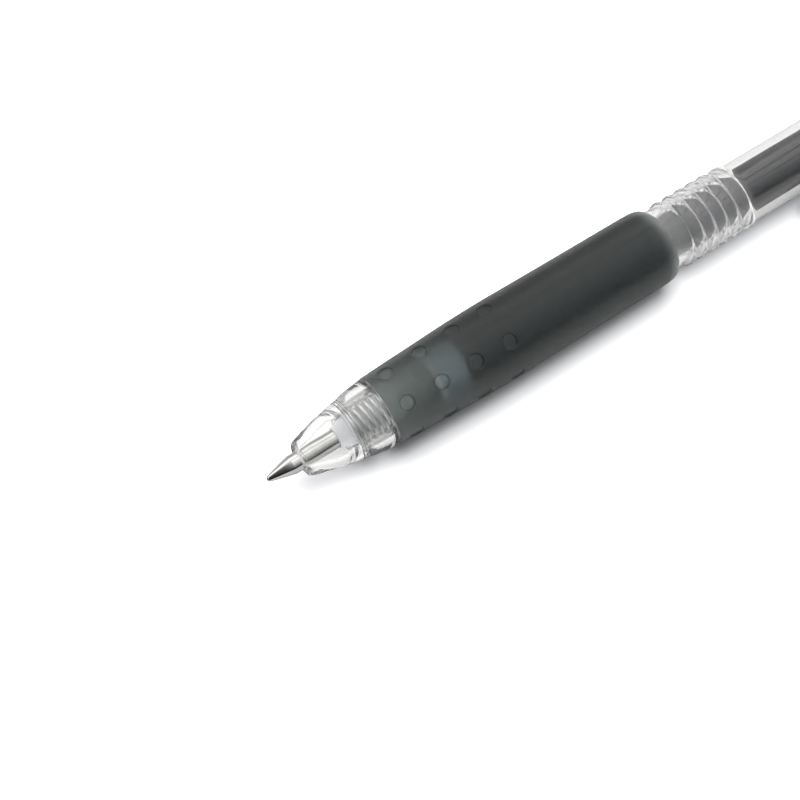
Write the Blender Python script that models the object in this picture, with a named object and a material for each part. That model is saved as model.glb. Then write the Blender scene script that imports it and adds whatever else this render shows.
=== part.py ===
"""Retractable gel pen: clear screw-on nose, clear barrel with a ribbed band, smoke-grey rubber grip,
refill with a ball point, cam-and-rotor click mechanism, and a hinged, sprung clip.

The pen lies along X with its tail towards +X and +Z up; the origin is the centre of the push
button's flat end. Sizes are in millimetres. A station is a distance from the ball's front along
the pen's axis, towards the tail. In names, _AT is a station and _R is a radius.
Outlines are lists of (station, radius) unless a comment says otherwise.
"""

import math

import bmesh
import bpy
import numpy as np
from mathutils import Vector

for old in list(bpy.data.objects):
    bpy.data.objects.remove(old, do_unlink=True)

# Dimensions that several pieces share
MM = 0.001
LENGTH = 142.0  # ball to button face, point out
SIDES = 28  # facets around most of the turned pieces
FIT_GAP = 0.06  # between pieces that fit together

SEAM_AT = 11.85  # nose cone against barrel
STEM_R = 3.50  # the smooth sleeve behind the cone, which holds the return spring
STEM_BORE_R = 3.05
STEM_END_AT = 23.90
SEAT_AT = 12.05  # the shoulder that the return spring pushes on
SEAT_BORE_R = 2.40

GRIP_FRONT_AT = 16.90
GRIP_REAR_AT = 62.90
GRIP_MAX_R = 5.62
NECK_R = 4.30  # barrel under the grip

BARREL_SHOULDER_AT = 112.0
BARREL_END_AT = 118.0
SPIGOT_R = 4.20  # barrel inside the rear collar

FLANGE_AT = 24.44  # front of the refill holder's flange
TUBE_BORE_R = 2.50
TUBE_FRONT_AT = 25.25
TUBE_END_AT = 109.5
INK_R = TUBE_BORE_R - FIT_GAP
INK_END_AT = 95.0


# Materials

def material(name, rgb, rough, metal=0.0, transmission=0.0):
    mat = bpy.data.materials.new(name)
    mat.use_nodes = True
    shader = mat.node_tree.nodes["Principled BSDF"]
    shader.inputs["Base Color"].default_value = (*rgb, 1.0)
    shader.inputs["Roughness"].default_value = rough
    shader.inputs["Metallic"].default_value = metal
    shader.inputs["Transmission Weight"].default_value = transmission
    return mat


CLEAR = material("clear_plastic", rgb=(0.93, 0.95, 0.96), rough=0.08, transmission=1.0)
CLEAR_NOSE = material("clear_nose_plastic", rgb=(0.93, 0.95, 0.96), rough=0.10, transmission=1.0)
SMOKE = material("smoke_rubber", rgb=(0.05, 0.06, 0.065), rough=0.45, transmission=0.3)
POINT_STEEL = material("point_steel", rgb=(0.78, 0.77, 0.74), rough=0.18, metal=1.0)
CARBIDE = material("ball_carbide", rgb=(0.35, 0.35, 0.36), rough=0.25, metal=1.0)
MILKY = material("milky_plastic", rgb=(0.88, 0.90, 0.91), rough=0.45, transmission=0.2)
SPRING_STEEL = material("spring_steel", rgb=(0.62, 0.62, 0.62), rough=0.3, metal=1.0)
CLIP_SPRING = material("clip_spring_steel", rgb=(0.62, 0.62, 0.62), rough=0.3, metal=1.0)
TUBE = material("tube_plastic", rgb=(0.85, 0.87, 0.88), rough=0.2, transmission=0.9)
INK = material("black_ink", rgb=(0.01, 0.01, 0.012), rough=0.25)
GREASE = material("follower_grease", rgb=(0.85, 0.80, 0.66), rough=0.3, transmission=0.6)
PLUG = material("plug_plastic", rgb=(0.08, 0.08, 0.09), rough=0.4)
GUIDE = material("guide_plastic", rgb=(0.86, 0.87, 0.88), rough=0.4)
ROTOR = material("rotor_plastic", rgb=(0.80, 0.81, 0.83), rough=0.35)
PLUNGER = material("plunger_plastic", rgb=(0.09, 0.09, 0.10), rough=0.35)
BUTTON = material("button_plastic", rgb=(0.02, 0.02, 0.024), rough=0.25)
COLLAR = material("collar_plastic", rgb=(0.025, 0.025, 0.03), rough=0.25)
CLIP = material("clip_plastic", rgb=(0.02, 0.02, 0.024), rough=0.22)
PIN_STEEL = material("pin_steel", rgb=(0.6, 0.6, 0.6), rough=0.25, metal=1.0)
VALVE_STEEL = material("valve_steel", rgb=(0.66, 0.66, 0.66), rough=0.2, metal=1.0)


# Places

def at(station, radius, angle):
    """World point by its angle about the axis (0 is +Y, a quarter turn is +Z)."""
    x = station - LENGTH
    return (x * MM, radius * math.cos(angle) * MM, radius * math.sin(angle) * MM)


def facing(angle, station, lift, across):
    """World point lifted from the axis in the direction of angle, then moved square to it."""
    out = Vector((0, math.cos(angle), math.sin(angle)))
    side = Vector((0, -math.sin(angle), math.cos(angle)))
    return (Vector((station - LENGTH, 0, 0)) + out * lift + side * across) * MM


def angles(count, shift=0.0):
    """Equal steps around a full turn; shift is a share of one step."""
    return [2 * math.pi * (k + shift) / count for k in range(count)]


def smooth(x):
    x = min(1.0, max(0.0, x))
    return x * x * (3 - 2 * x)


# Objects

def add_piece(name, shell, mat, sharp=35.0, origin=None):
    """Turn a bmesh in world places into a shaded object, with its origin moved if one is given."""
    bmesh.ops.recalc_face_normals(shell, faces=shell.faces)
    if origin is not None:
        bmesh.ops.translate(shell, verts=shell.verts, vec=-Vector(origin))
    mesh = bpy.data.meshes.new(name)
    shell.to_mesh(mesh)
    shell.free()
    piece = bpy.data.objects.new(name, mesh)
    bpy.context.scene.collection.objects.link(piece)
    if origin is not None:
        piece.location = origin
    mesh.materials.append(mat)
    mesh.shade_smooth()
    mesh.set_sharp_from_angle(angle=math.radians(sharp))
    return piece


def add_helper(name, shell, mat=PIN_STEEL):
    """An object that only serves a boolean."""
    helper = add_piece(name, shell, mat)
    helper.hide_render = True
    helper.display_type = "WIRE"
    return helper


def combine(piece, helper, operation, label=None):
    boolean = piece.modifiers.new(label or helper.name, "BOOLEAN")
    boolean.operation = operation
    boolean.solver = "EXACT"
    boolean.object = helper


def add_ball(name, station, radius, mat):
    shell = bmesh.new()
    bmesh.ops.create_icosphere(shell, subdivisions=2, radius=radius * MM)
    add_piece(name, shell, mat).location = at(station, 0, 0)


# Shells

def numbered(points, first=0):
    """Put a rising tag in front of each (station, radius)."""
    return [(first + k, station, radius) for k, (station, radius) in enumerate(points)]


def revolve(columns, thread_tags=0):
    """A closed body of revolution whose closed section may change from column to column.

    Each column is (angle, [(tag, station, radius), ...]) with rising tags; the first and last
    tags are the same in every column. Tags of 1000 to 1999 belong to a helix and step by
    thread_tags in one turn.
    """
    shell = bmesh.new()
    known = {}

    def vertex(station, radius, angle):
        point = at(station, radius, angle)
        key = tuple(round(c * 1e7) for c in point)
        if key not in known:
            known[key] = shell.verts.new(point)
        return known[key]

    def triangle(*corners):
        if len(set(corners)) < 3:
            return
        # Guards against a triangle that is already there, which merged vertices can bring about.
        try:
            shell.faces.new(corners)
        except ValueError:
            pass

    rows = [
        [(tag, vertex(station, radius, angle)) for tag, station, radius in section]
        for angle, section in columns
    ]
    # The first column again, one turn on
    again = [(tag - thread_tags if 1000 <= tag < 2000 else tag, v) for tag, v in rows[0]]
    rows.append(sorted(again, key=lambda row: row[0]))
    for left, right in zip(rows[:-1], rows[1:]):
        i = j = 0
        while i < len(left) - 1 or j < len(right) - 1:
            next_left = left[i + 1][0] if i < len(left) - 1 else math.inf
            next_right = right[j + 1][0] if j < len(right) - 1 else math.inf
            if next_left == next_right:
                triangle(left[i][1], left[i + 1][1], right[j + 1][1])
                triangle(left[i][1], right[j + 1][1], right[j][1])
                i += 1
                j += 1
            elif next_left < next_right:
                triangle(left[i][1], left[i + 1][1], right[j][1])
                i += 1
            else:
                triangle(left[i][1], right[j + 1][1], right[j][1])
                j += 1
        triangle(left[-1][1], left[0][1], right[0][1])
        triangle(left[-1][1], right[0][1], right[-1][1])
    return shell


def lathe(outline, sides=SIDES):
    """A plain body of revolution from a closed outline."""
    section = numbered(outline)
    return revolve([(angle, section) for angle in angles(sides)])


def flat_sided(outline):
    """A body of revolution whose facets touch the true circle, one of them facing straight down."""
    grow = 1 / math.cos(math.pi / SIDES)
    section = numbered([(station, radius * grow) for station, radius in outline])
    return revolve([(angle, section) for angle in angles(SIDES, 0.5)])


def loft(rings):
    """A solid through rings of world points, closed at both ends."""
    shell = bmesh.new()
    loops = [[shell.verts.new(point) for point in ring] for ring in rings]
    for one, two in zip(loops[:-1], loops[1:]):
        for k in range(len(one)):
            n = (k + 1) % len(one)
            shell.faces.new((one[k], one[n], two[n], two[k]))
    shell.faces.new(loops[0])
    shell.faces.new(list(reversed(loops[-1])))
    return shell


def coil(name, mat, coil_r, wire_r, turns, steps, rise, place):
    """A round-wire coil. rise(turn) is its height; place(height, radius, angle) a world point."""
    rings = []
    for k in range(int(turns * steps) + 1):
        angle = 2 * math.pi * k / steps
        height = rise(k / steps)
        rings.append([
            place(height + wire_r * math.sin(b), coil_r + wire_r * math.cos(b), angle)
            for b in angles(6)
        ])
    add_piece(name, loft(rings), mat, sharp=60)


# Screw thread between nose cone and barrel

THREAD_START_AT = 19.00
THREAD_END_AT = 23.60
THREAD_PITCH = 0.92
THREAD_ROOT_R = 3.30
THREAD_CREST_R = 3.55
THREAD_PLAY = 0.08
THREAD_TRIM = 0.06  # kept free of thread at each end
THREAD_FADE = 0.45  # length over which the thread rises at each end
BARREL_THREAD_R = THREAD_CREST_R + THREAD_PLAY  # wide radius of the barrel's thread
# One pitch: (axial offset, share of the way from base radius to ridge radius)
MALE_THREAD = [(0.00, 0.0), (0.22, 1.0), (0.40, 1.0), (0.62, 0.0)]
FEMALE_THREAD = [(0.16, 0.0), (0.46, 0.0), (0.68, 1.0), (0.86, 1.0)]


def thread_rows(angle, base_r, ridge_r, profile):
    """Tagged section rows of the thread; both ends fade to base_r."""
    rows = []
    turns = int((THREAD_END_AT - THREAD_START_AT) / THREAD_PITCH) + 3
    for turn in range(-2, turns):
        for m, (offset, share) in enumerate(profile):
            station = THREAD_START_AT + THREAD_PITCH * (turn + angle / (2 * math.pi)) + offset
            if not THREAD_START_AT + THREAD_TRIM < station < THREAD_END_AT - THREAD_TRIM:
                continue
            fade = smooth((station - THREAD_START_AT) / THREAD_FADE)
            fade *= smooth((THREAD_END_AT - station) / THREAD_FADE)
            radius = base_r + (ridge_r - base_r) * share * fade
            rows.append((1100 + turn * len(profile) + m, station, radius))
    return rows


def threaded(before, base_r, ridge_r, profile, after):
    """A body of revolution with the thread between two parts of its outline."""
    columns = []
    for angle in angles(SIDES):
        section = numbered(before)
        section += thread_rows(angle, base_r, ridge_r, profile)
        section += numbered(after, 3000)
        columns.append((angle, section))
    return revolve(columns, len(profile))


# Nose cone: clear, with a smooth sleeve around the return spring and a thread on the sleeve's end

NOSE_OUTSIDE = [
    (5.00, 1.56), (4.84, 1.80), (4.80, 2.00), (4.88, 2.22), (5.10, 2.40), (5.60, 2.60),
    (6.35, 2.86), (7.40, 3.11), (8.40, 3.39), (9.40, 3.62), (10.50, 3.81), (11.30, 3.99),
    (11.76, 4.09), (SEAM_AT, 4.06), (SEAM_AT, STEM_R),
    (THREAD_START_AT - 0.20, STEM_R), (THREAD_START_AT, THREAD_ROOT_R),
]
NOSE_INSIDE = [
    (THREAD_END_AT, THREAD_ROOT_R), (STEM_END_AT, THREAD_ROOT_R - 0.12),
    (STEM_END_AT, STEM_BORE_R), (SEAT_AT, STEM_BORE_R), (SEAT_AT, SEAT_BORE_R),
    (11.2, 2.46), (10.4, 2.52), (8.6, 2.20), (7.2, 1.75), (6.3, 1.50), (5.3, 1.45),
]


def build_nose_cone():
    shell = threaded(NOSE_OUTSIDE, THREAD_ROOT_R, THREAD_CREST_R, MALE_THREAD, NOSE_INSIDE)
    add_piece("nose_cone", shell, CLEAR_NOSE)


# Barrel: front band, neck under the grip with the female thread inside, ribs, tube, rear spigot

BARREL_FRONT_AT = SEAM_AT + FIT_GAP
BARREL_R = 4.55
BARREL_FRONT_BORE_R = 3.65  # clears the nose cone's thread crests
BARREL_BORE_R = 3.30
BARREL_REAR_BORE_R = 3.90
BAND_R = 4.86  # rear of the front band, and the plain ring behind the ribs
RIB_FIRST_AT = 65.95
RIB_PITCH = 2.06
RIB_COUNT = 5
RIB_R = 4.93
# One rib: (offset from its middle, radius)
RIB_OUTLINE = [(-0.31, BARREL_R), (-0.10, RIB_R), (0.10, RIB_R), (0.31, BARREL_R)]
FRONT_BAND = [
    (BARREL_FRONT_AT, 4.09), (12.18, 4.145), (12.25, 4.075), (12.32, 4.160), (12.54, 4.185),
    (12.61, 4.115), (12.68, 4.205), (13.60, 4.46), (14.70, 4.61), (15.70, 4.74), (16.70, BAND_R),
    (GRIP_FRONT_AT - FIT_GAP, BAND_R), (GRIP_FRONT_AT - FIT_GAP, NECK_R),
    (GRIP_REAR_AT + FIT_GAP, NECK_R), (GRIP_REAR_AT + FIT_GAP, BARREL_R),
]
BARREL_REAR = [
    (76.12, BARREL_R), (76.32, BAND_R), (76.92, BAND_R), (77.12, BARREL_R),
    (BARREL_SHOULDER_AT - 0.1, BARREL_R), (BARREL_SHOULDER_AT, BARREL_R - 0.1),
    (BARREL_SHOULDER_AT, SPIGOT_R), (BARREL_END_AT - 0.2, SPIGOT_R),
    (BARREL_END_AT, SPIGOT_R - 0.15),
]
BARREL_FRONT_BORE = [
    (BARREL_FRONT_AT, BARREL_FRONT_BORE_R), (THREAD_START_AT, BARREL_FRONT_BORE_R),
]
BARREL_BORE = [
    (23.95, BARREL_THREAD_R), (24.25, BARREL_BORE_R), (65.0, BARREL_BORE_R),
    (68.0, BARREL_REAR_BORE_R), (BARREL_END_AT, BARREL_REAR_BORE_R),
]


def build_barrel():
    """The section runs back along the bore and forward again along the outside."""
    ribs = [
        (RIB_FIRST_AT + RIB_PITCH * k + offset, radius)
        for k in range(RIB_COUNT)
        for offset, radius in RIB_OUTLINE
    ]
    outside = FRONT_BAND + ribs + BARREL_REAR
    ridge_r = THREAD_ROOT_R + THREAD_PLAY
    after = BARREL_BORE + outside[::-1]
    shell = threaded(BARREL_FRONT_BORE, BARREL_THREAD_R, ridge_r, FEMALE_THREAD, after)
    add_piece("barrel", shell, CLEAR)


# Grip: smoke-grey rubber sleeve with rings of small round recesses

GRIP_BORE_R = NECK_R + FIT_GAP
GRIP_OUTSIDE = [
    (GRIP_FRONT_AT, 4.78), (17.05, 4.92), (18.90, 5.02), (21.00, 5.14), (23.20, 5.21),
    (25.40, 5.30), (27.60, 5.40), (29.80, 5.49), (32.00, 5.555), (34.20, 5.60),
    (36.50, GRIP_MAX_R), (38.80, 5.61), (42.00, 5.585), (46.80, 5.56), (51.50, 5.53),
    (56.30, 5.525), (59.90, 5.51), (61.70, 5.46), (62.40, 5.33), (62.80, 5.08),
    (GRIP_REAR_AT, 4.85),
]
DIMPLE_R = 1.02
DIMPLE_DEPTH = 0.24
DIMPLE_TOP = 0.35  # height of the cutter above the grip
DIMPLE_FIRST_AT = 19.40
DIMPLE_PITCH = 5.25
DIMPLE_ROWS = 4
DIMPLE_COLUMNS = 6
DIMPLE_TURN = math.radians(124.4)
# Rings of a dimple's cutter: (radius, height above the grip)
DIMPLE_RINGS = [(DIMPLE_R + 0.10, DIMPLE_TOP), (DIMPLE_R, 0.0), (DIMPLE_R - 0.12, -DIMPLE_DEPTH)]


def add_dimple(shell, station, angle):
    surface_r = float(np.interp(station, *zip(*GRIP_OUTSIDE)))

    def vertex(along, height, across):
        return shell.verts.new(facing(angle, station + along, surface_r + height, across))

    upper, middle, lower = [
        [vertex(radius * math.cos(b), height, radius * math.sin(b)) for b in angles(12)]
        for radius, height in DIMPLE_RINGS
    ]
    top = vertex(0, DIMPLE_TOP, 0)
    bottom = vertex(0, -DIMPLE_DEPTH, 0)
    for s in range(12):
        n = (s + 1) % 12
        shell.faces.new((top, upper[s], upper[n]))
        shell.faces.new((upper[s], middle[s], middle[n], upper[n]))
        shell.faces.new((middle[s], lower[s], lower[n], middle[n]))
        shell.faces.new((bottom, lower[n], lower[s]))


def build_grip():
    outline = GRIP_OUTSIDE + [(GRIP_REAR_AT, GRIP_BORE_R), (GRIP_FRONT_AT, GRIP_BORE_R)]
    grip = add_piece("grip_sleeve", flat_sided(outline), SMOKE)
    dimples = bmesh.new()
    for row in range(DIMPLE_ROWS):
        for turn in angles(DIMPLE_COLUMNS):
            add_dimple(dimples, DIMPLE_FIRST_AT + DIMPLE_PITCH * row, DIMPLE_TURN + turn)
    cutter = add_helper("dimple_cutter", dimples, SMOKE)
    combine(grip, cutter, "DIFFERENCE", label="dimples")


# Refill: ball, metal point, milky holder with its check ball, tube, ink, grease follower, plug

BALL_R = 0.35
SOCKET_R = BALL_R + 0.025
POINT_R = 1.30
SHANK_R = 1.25
SHANK_END_AT = 14.00
POINT_BORE_R = 0.62
HOLDER_FRONT_AT = 10.20
HOLDER_END_AT = 29.20
HOLDER_R = 2.20
HOLDER_FLANGE_R = 2.90
HOLDER_FRONT_BORE_R = SHANK_R + 0.04
HOLDER_REAR_BORE_R = 1.35
VALVE_SEAT_AT = 23.60  # step in the holder's bore behind the check ball
TUBE_R = 3.00
FOLLOWER_END_AT = 100.0
PLUG_FLANGE_AT = TUBE_END_AT + 0.05

POINT_OUTLINE = [
    (0.16, 0.40), (0.34, 0.47), (1.20, 0.70), (2.40, 1.00), (3.70, POINT_R), (5.60, POINT_R),
    (5.70, SHANK_R), (13.90, SHANK_R), (SHANK_END_AT, SHANK_R - 0.08),
    (SHANK_END_AT, POINT_BORE_R), (3.60, POINT_BORE_R), (2.60, 0.20), (0.78, 0.17),
]
SOCKET_DEGREES = (138, 120, 105, 90, 76, 62)  # from the forward axis about the ball's centre
HOLDER_OUTLINE = [
    (HOLDER_FRONT_AT, 1.33), (HOLDER_FRONT_AT, 1.42), (10.70, 1.55), (11.40, 1.86),
    (12.10, 2.14), (12.60, HOLDER_R), (FLANGE_AT, HOLDER_R), (FLANGE_AT, HOLDER_FLANGE_R),
    (25.20, HOLDER_FLANGE_R), (25.20, INK_R), (29.10, INK_R), (HOLDER_END_AT, 2.36),
    (HOLDER_END_AT, HOLDER_REAR_BORE_R), (VALVE_SEAT_AT, HOLDER_REAR_BORE_R),
    (VALVE_SEAT_AT, 1.00), (21.40, 1.00), (20.60, 0.80), (14.08, 0.80),
    (14.08, HOLDER_FRONT_BORE_R), (HOLDER_FRONT_AT, HOLDER_FRONT_BORE_R),
]
TUBE_OUTLINE = [
    (TUBE_FRONT_AT, TUBE_R), (TUBE_END_AT, TUBE_R),
    (TUBE_END_AT, TUBE_BORE_R), (TUBE_FRONT_AT, TUBE_BORE_R),
]
INK_OUTLINE = [
    (23.62, 0.0), (23.62, HOLDER_REAR_BORE_R - FIT_GAP),
    (HOLDER_END_AT + FIT_GAP, HOLDER_REAR_BORE_R - FIT_GAP), (HOLDER_END_AT + FIT_GAP, INK_R),
    (INK_END_AT, INK_R), (INK_END_AT, 0.0),
]
FOLLOWER_OUTLINE = [
    (INK_END_AT + 0.03, 0.0), (INK_END_AT + 0.03, INK_R), (FOLLOWER_END_AT, INK_R),
    (FOLLOWER_END_AT - 0.5, 1.2), (FOLLOWER_END_AT - 0.6, 0.0),
]
PLUG_OUTLINE = [
    (104.0, 0.9), (104.0, 2.30), (104.3, INK_R), (PLUG_FLANGE_AT, INK_R), (PLUG_FLANGE_AT, 2.70),
    (111.2, 2.70), (111.45, 2.55), (111.45, 0.5), (106.0, 0.5), (105.8, 0.9),
]


def build_point():
    socket = []
    for degrees in SOCKET_DEGREES:
        turn = math.radians(degrees)
        socket.append((BALL_R - SOCKET_R * math.cos(turn), SOCKET_R * math.sin(turn)))
    add_piece("tip_point", lathe(POINT_OUTLINE + socket, 24), POINT_STEEL)


def build_refill():
    add_ball("tip_ball", BALL_R, BALL_R, CARBIDE)
    build_point()
    add_piece("tip_holder", lathe(HOLDER_OUTLINE), MILKY)
    add_ball("check_ball", 22.45, 0.90, VALVE_STEEL)
    add_piece("ink_tube", lathe(TUBE_OUTLINE, 32), TUBE)
    add_piece("ink_column", lathe(INK_OUTLINE), INK)
    add_piece("ink_follower", lathe(FOLLOWER_OUTLINE), GREASE)
    add_piece("tail_plug", lathe(PLUG_OUTLINE), PLUG)


# Return spring, between the nose cone's seat and the holder's flange

SPRING_R = 2.62
SPRING_WIRE_R = 0.22
SPRING_TURNS = 15
SPRING_FRONT_AT = SEAT_AT + 0.04
SPRING_REAR_AT = FLANGE_AT - FIT_GAP
SPRING_CLOSED = 1.25  # turns that lie close together at each end
SPRING_CLOSED_PITCH = 0.46


def return_spring_rise(turn):
    start = SPRING_FRONT_AT + SPRING_WIRE_R
    end = SPRING_REAR_AT - SPRING_WIRE_R
    open_turns = SPRING_TURNS - 2 * SPRING_CLOSED
    open_pitch = (end - start - 2 * SPRING_CLOSED * SPRING_CLOSED_PITCH) / open_turns
    closed_done = min(turn, SPRING_CLOSED) + max(turn - SPRING_TURNS + SPRING_CLOSED, 0.0)
    open_done = min(max(turn - SPRING_CLOSED, 0.0), open_turns)
    return start + SPRING_CLOSED_PITCH * closed_done + open_pitch * open_done


def build_return_spring():
    coil("return_spring", SPRING_STEEL, coil_r=SPRING_R, wire_r=SPRING_WIRE_R,
         turns=SPRING_TURNS, steps=16, rise=return_spring_rise, place=at)


# Click mechanism. Four guide ribs leave four grooves; the rotor's and the plunger's ribs run in them.

QUARTER = math.pi / 2
GROOVE_TURN = math.radians(45)
GUIDE_RIB_HALF = math.radians(24)
CAM_RIB_HALF = math.radians(14)
GUIDE_BORE_R = 3.30
GUIDE_RIB_R = 2.78
CAM_RIB_R = 3.20
ROTOR_R = 2.50
PLUNGER_BODY_R = 2.52
TOOTH_HEIGHT = 0.7
ROTOR_CROWN_AT = 116.42
PLUNGER_CROWN_AT = 116.60


def ribbed(rib_half, plain_r, rib_r, section_at, turned=0.0):
    """A body with four ribs. section_at(radius, x, angle) gives an outline.

    x runs from -1 to 1 across a rib and back to -1 in the gap that follows.
    """
    steps = 3
    gap = QUARTER / 2 - rib_half
    places = []
    for quarter in range(4):
        mid = quarter * QUARTER
        for k in range(steps + 1):
            places.append((plain_r, -k / steps, mid - QUARTER / 2 + gap * k / steps))
        for k in range(steps + 1):
            x = -1 + 2 * k / steps
            places.append((rib_r, x, mid + rib_half * x))
        for k in range(steps):
            places.append((plain_r, 1 - k / steps, mid + rib_half + gap * k / steps))
    return revolve([
        (angle + turned, numbered(section_at(radius, x, angle))) for radius, x, angle in places
    ])


def crown(middle_at, angle):
    """Stations of the eight-tooth crown at its outer and inner edge."""
    x = (angle / (math.pi / 4)) % 1.0
    height = TOOTH_HEIGHT * (1 - abs(2 * x - 1))
    return middle_at + height - TOOTH_HEIGHT / 2, middle_at + height * 0.6 - 0.2


def guide_outline(rib_r, x, _angle):
    saw = 0.45 * (1 + x)
    return [
        (109.0, 3.70), (109.2, 3.85), (118.04, 3.85), (118.04, 4.14), (118.2, 4.20),
        (132.92, 4.20), (132.92, 3.75), (124.30, 3.75), (124.26, rib_r), (116.5 + saw, rib_r),
        (116.45 + saw, GUIDE_BORE_R), (109.0, GUIDE_BORE_R),
    ]


def rotor_outline(rib_r, x, angle):
    saw = 0.3 * (1 + x)
    outer_at, inner_at = crown(ROTOR_CROWN_AT, angle)
    return [
        (111.52, 0.0), (111.52, 2.25), (111.7, ROTOR_R), (112.2, ROTOR_R), (112.25, rib_r),
        (115.3 + saw, rib_r), (115.35 + saw, ROTOR_R), (outer_at, ROTOR_R), (inner_at, 1.25),
        (120.6, 1.20), (120.8, 1.0), (120.8, 0.0),
    ]


def plunger_outline(rib_r, _x, angle):
    outer_at, inner_at = crown(PLUNGER_CROWN_AT, angle)
    return [
        (outer_at, PLUNGER_BODY_R), (117.6, PLUNGER_BODY_R), (117.65, rib_r), (121.0, rib_r),
        (121.05, PLUNGER_BODY_R), (124.3, PLUNGER_BODY_R), (124.9, 2.20), (137.2, 2.20),
        (137.4, 2.0), (137.4, 0.0), (122.2, 0.0), (122.0, 1.30), (inner_at, 1.30),
    ]


def build_click_mechanism():
    guide = ribbed(GUIDE_RIB_HALF, GUIDE_BORE_R, GUIDE_RIB_R, guide_outline, GROOVE_TURN)
    add_piece("guide_sleeve", guide, GUIDE)
    rotor = ribbed(CAM_RIB_HALF, ROTOR_R, CAM_RIB_R, rotor_outline)
    add_piece("rotor_cam", rotor, ROTOR)
    plunger = ribbed(CAM_RIB_HALF, PLUNGER_BODY_R, CAM_RIB_R, plunger_outline)
    add_piece("thrust_plunger", plunger, PLUNGER)


# Push button

BUTTON_R = 3.30
BUTTON_OUTLINE = [
    (125.45, 3.64), (125.50, 3.70), (126.45, 3.70), (126.50, BUTTON_R), (140.6, BUTTON_R - 0.02),
    (141.3, BUTTON_R - 0.12), (141.75, BUTTON_R - 0.45), (LENGTH, BUTTON_R - 1.0), (LENGTH, 0.0),
    (137.5, 0.0), (137.5, 2.26), (125.45, 2.26),
]


def build_button():
    add_piece("push_button", lathe(BUTTON_OUTLINE, 32), BUTTON)


# Clip frame. Lift is the distance from the pen's axis in the clip's direction.

PIN_AT = 121.5
PIN_LIFT = 7.45
PIN_R = 0.60
CLIP_HALF_WIDTH = 1.90
EAR_IN = 2.00
EAR_OUT = 2.95
EAR_ROUND_R = 1.55
EAR_FOOT_HALF = 3.4
EAR_FOOT_LIFT = 4.35
CUT_HALF = 4.0  # half length of the hole cutters, past both ears
CLIP_SEAT_AT = 128.4
CLIP_SEAT_LIFT = 5.28
CLIP_SEAT_TOP = 6.4
CLIP_SEAT_R = 1.25
# Corners that can touch the table: (lift, half width) of the ears and of the lever's back
LOW_POINTS = ((PIN_LIFT + EAR_ROUND_R * 0.93, EAR_OUT), (9.35, CLIP_HALF_WIDTH))


def find_clip_angle():
    """Turn the clip from straight down until its lowest corner is in the grip's resting plane."""
    low, high = math.radians(40), math.radians(110)
    for _ in range(60):
        turn = (low + high) / 2
        depth = max(lift * math.cos(turn) + half * math.sin(turn) for lift, half in LOW_POINTS)
        if depth > GRIP_MAX_R:
            low = turn
        else:
            high = turn
    return math.radians(270) - low


CLIP_ANGLE = find_clip_angle()


def clip_point(station, lift, across):
    return facing(CLIP_ANGLE, station, lift, across)


PIN_ORIGIN = clip_point(PIN_AT, PIN_LIFT, 0)


def plate(outline, across_from, across_to):
    """A prism: an outline in (station, lift) between two offsets across the clip."""
    return loft([
        [clip_point(station, lift, across) for station, lift in outline]
        for across in (across_from, across_to)
    ])


def pin_bar(radius, half, sides=24):
    """A cylinder across the clip, around the pin's axis."""
    outline = [
        (PIN_AT + radius * math.cos(b), PIN_LIFT + radius * math.sin(b)) for b in angles(sides)
    ]
    return plate(outline, -half, half)


# Rear collar with two ears

COLLAR_FRONT_AT = BARREL_SHOULDER_AT + FIT_GAP
COLLAR_END_AT = 135.5
COLLAR_R = GRIP_MAX_R
COLLAR_BORE_R = SPIGOT_R + FIT_GAP
COLLAR_LIP_R = 3.45
COLLAR_OUTLINE = [
    (COLLAR_FRONT_AT, COLLAR_BORE_R), (COLLAR_FRONT_AT, 4.55), (112.4, 4.70), (113.6, 5.05),
    (115.2, 5.42), (116.6, 5.57), (117.6, COLLAR_R), (132.6, COLLAR_R), (134.0, 5.48),
    (134.9, 5.15), (135.3, 4.80), (COLLAR_END_AT, 4.40), (COLLAR_END_AT, COLLAR_LIP_R),
    (133.0, COLLAR_LIP_R), (133.0, COLLAR_BORE_R),
]


def ear_outline():
    """Round around the pin, widening to a foot in the collar: (station, lift)."""
    outline = [(PIN_AT + EAR_FOOT_HALF, EAR_FOOT_LIFT)]
    for degrees in range(-10, 191, 20):
        turn = math.radians(degrees)
        lift = PIN_LIFT + EAR_ROUND_R * math.sin(turn)
        outline.append((PIN_AT + EAR_ROUND_R * math.cos(turn), lift))
    outline.append((PIN_AT - EAR_FOOT_HALF, EAR_FOOT_LIFT))
    return outline


def clip_seat_shell():
    """The round pocket in the collar for the clip's spring."""
    return loft([
        [
            clip_point(CLIP_SEAT_AT + CLIP_SEAT_R * math.cos(b), lift, CLIP_SEAT_R * math.sin(b))
            for b in angles(16)
        ]
        for lift in (CLIP_SEAT_LIFT, CLIP_SEAT_TOP)
    ])


def build_collar():
    collar = add_piece("rear_collar", flat_sided(COLLAR_OUTLINE), COLLAR)
    for k, sign in enumerate((-1, 1)):
        ear = plate(ear_outline(), sign * EAR_IN, sign * EAR_OUT)
        combine(collar, add_helper(f"ear_{k}", ear), "UNION")
    holes = pin_bar(PIN_R + 0.03, CUT_HALF, sides=20)
    combine(collar, add_helper("ear_holes", holes), "DIFFERENCE")
    combine(collar, add_helper("spring_seat", clip_seat_shell()), "DIFFERENCE")


# Clip lever: a lofted bar with a boss for the pin and a rounded pad at the free end

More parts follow.
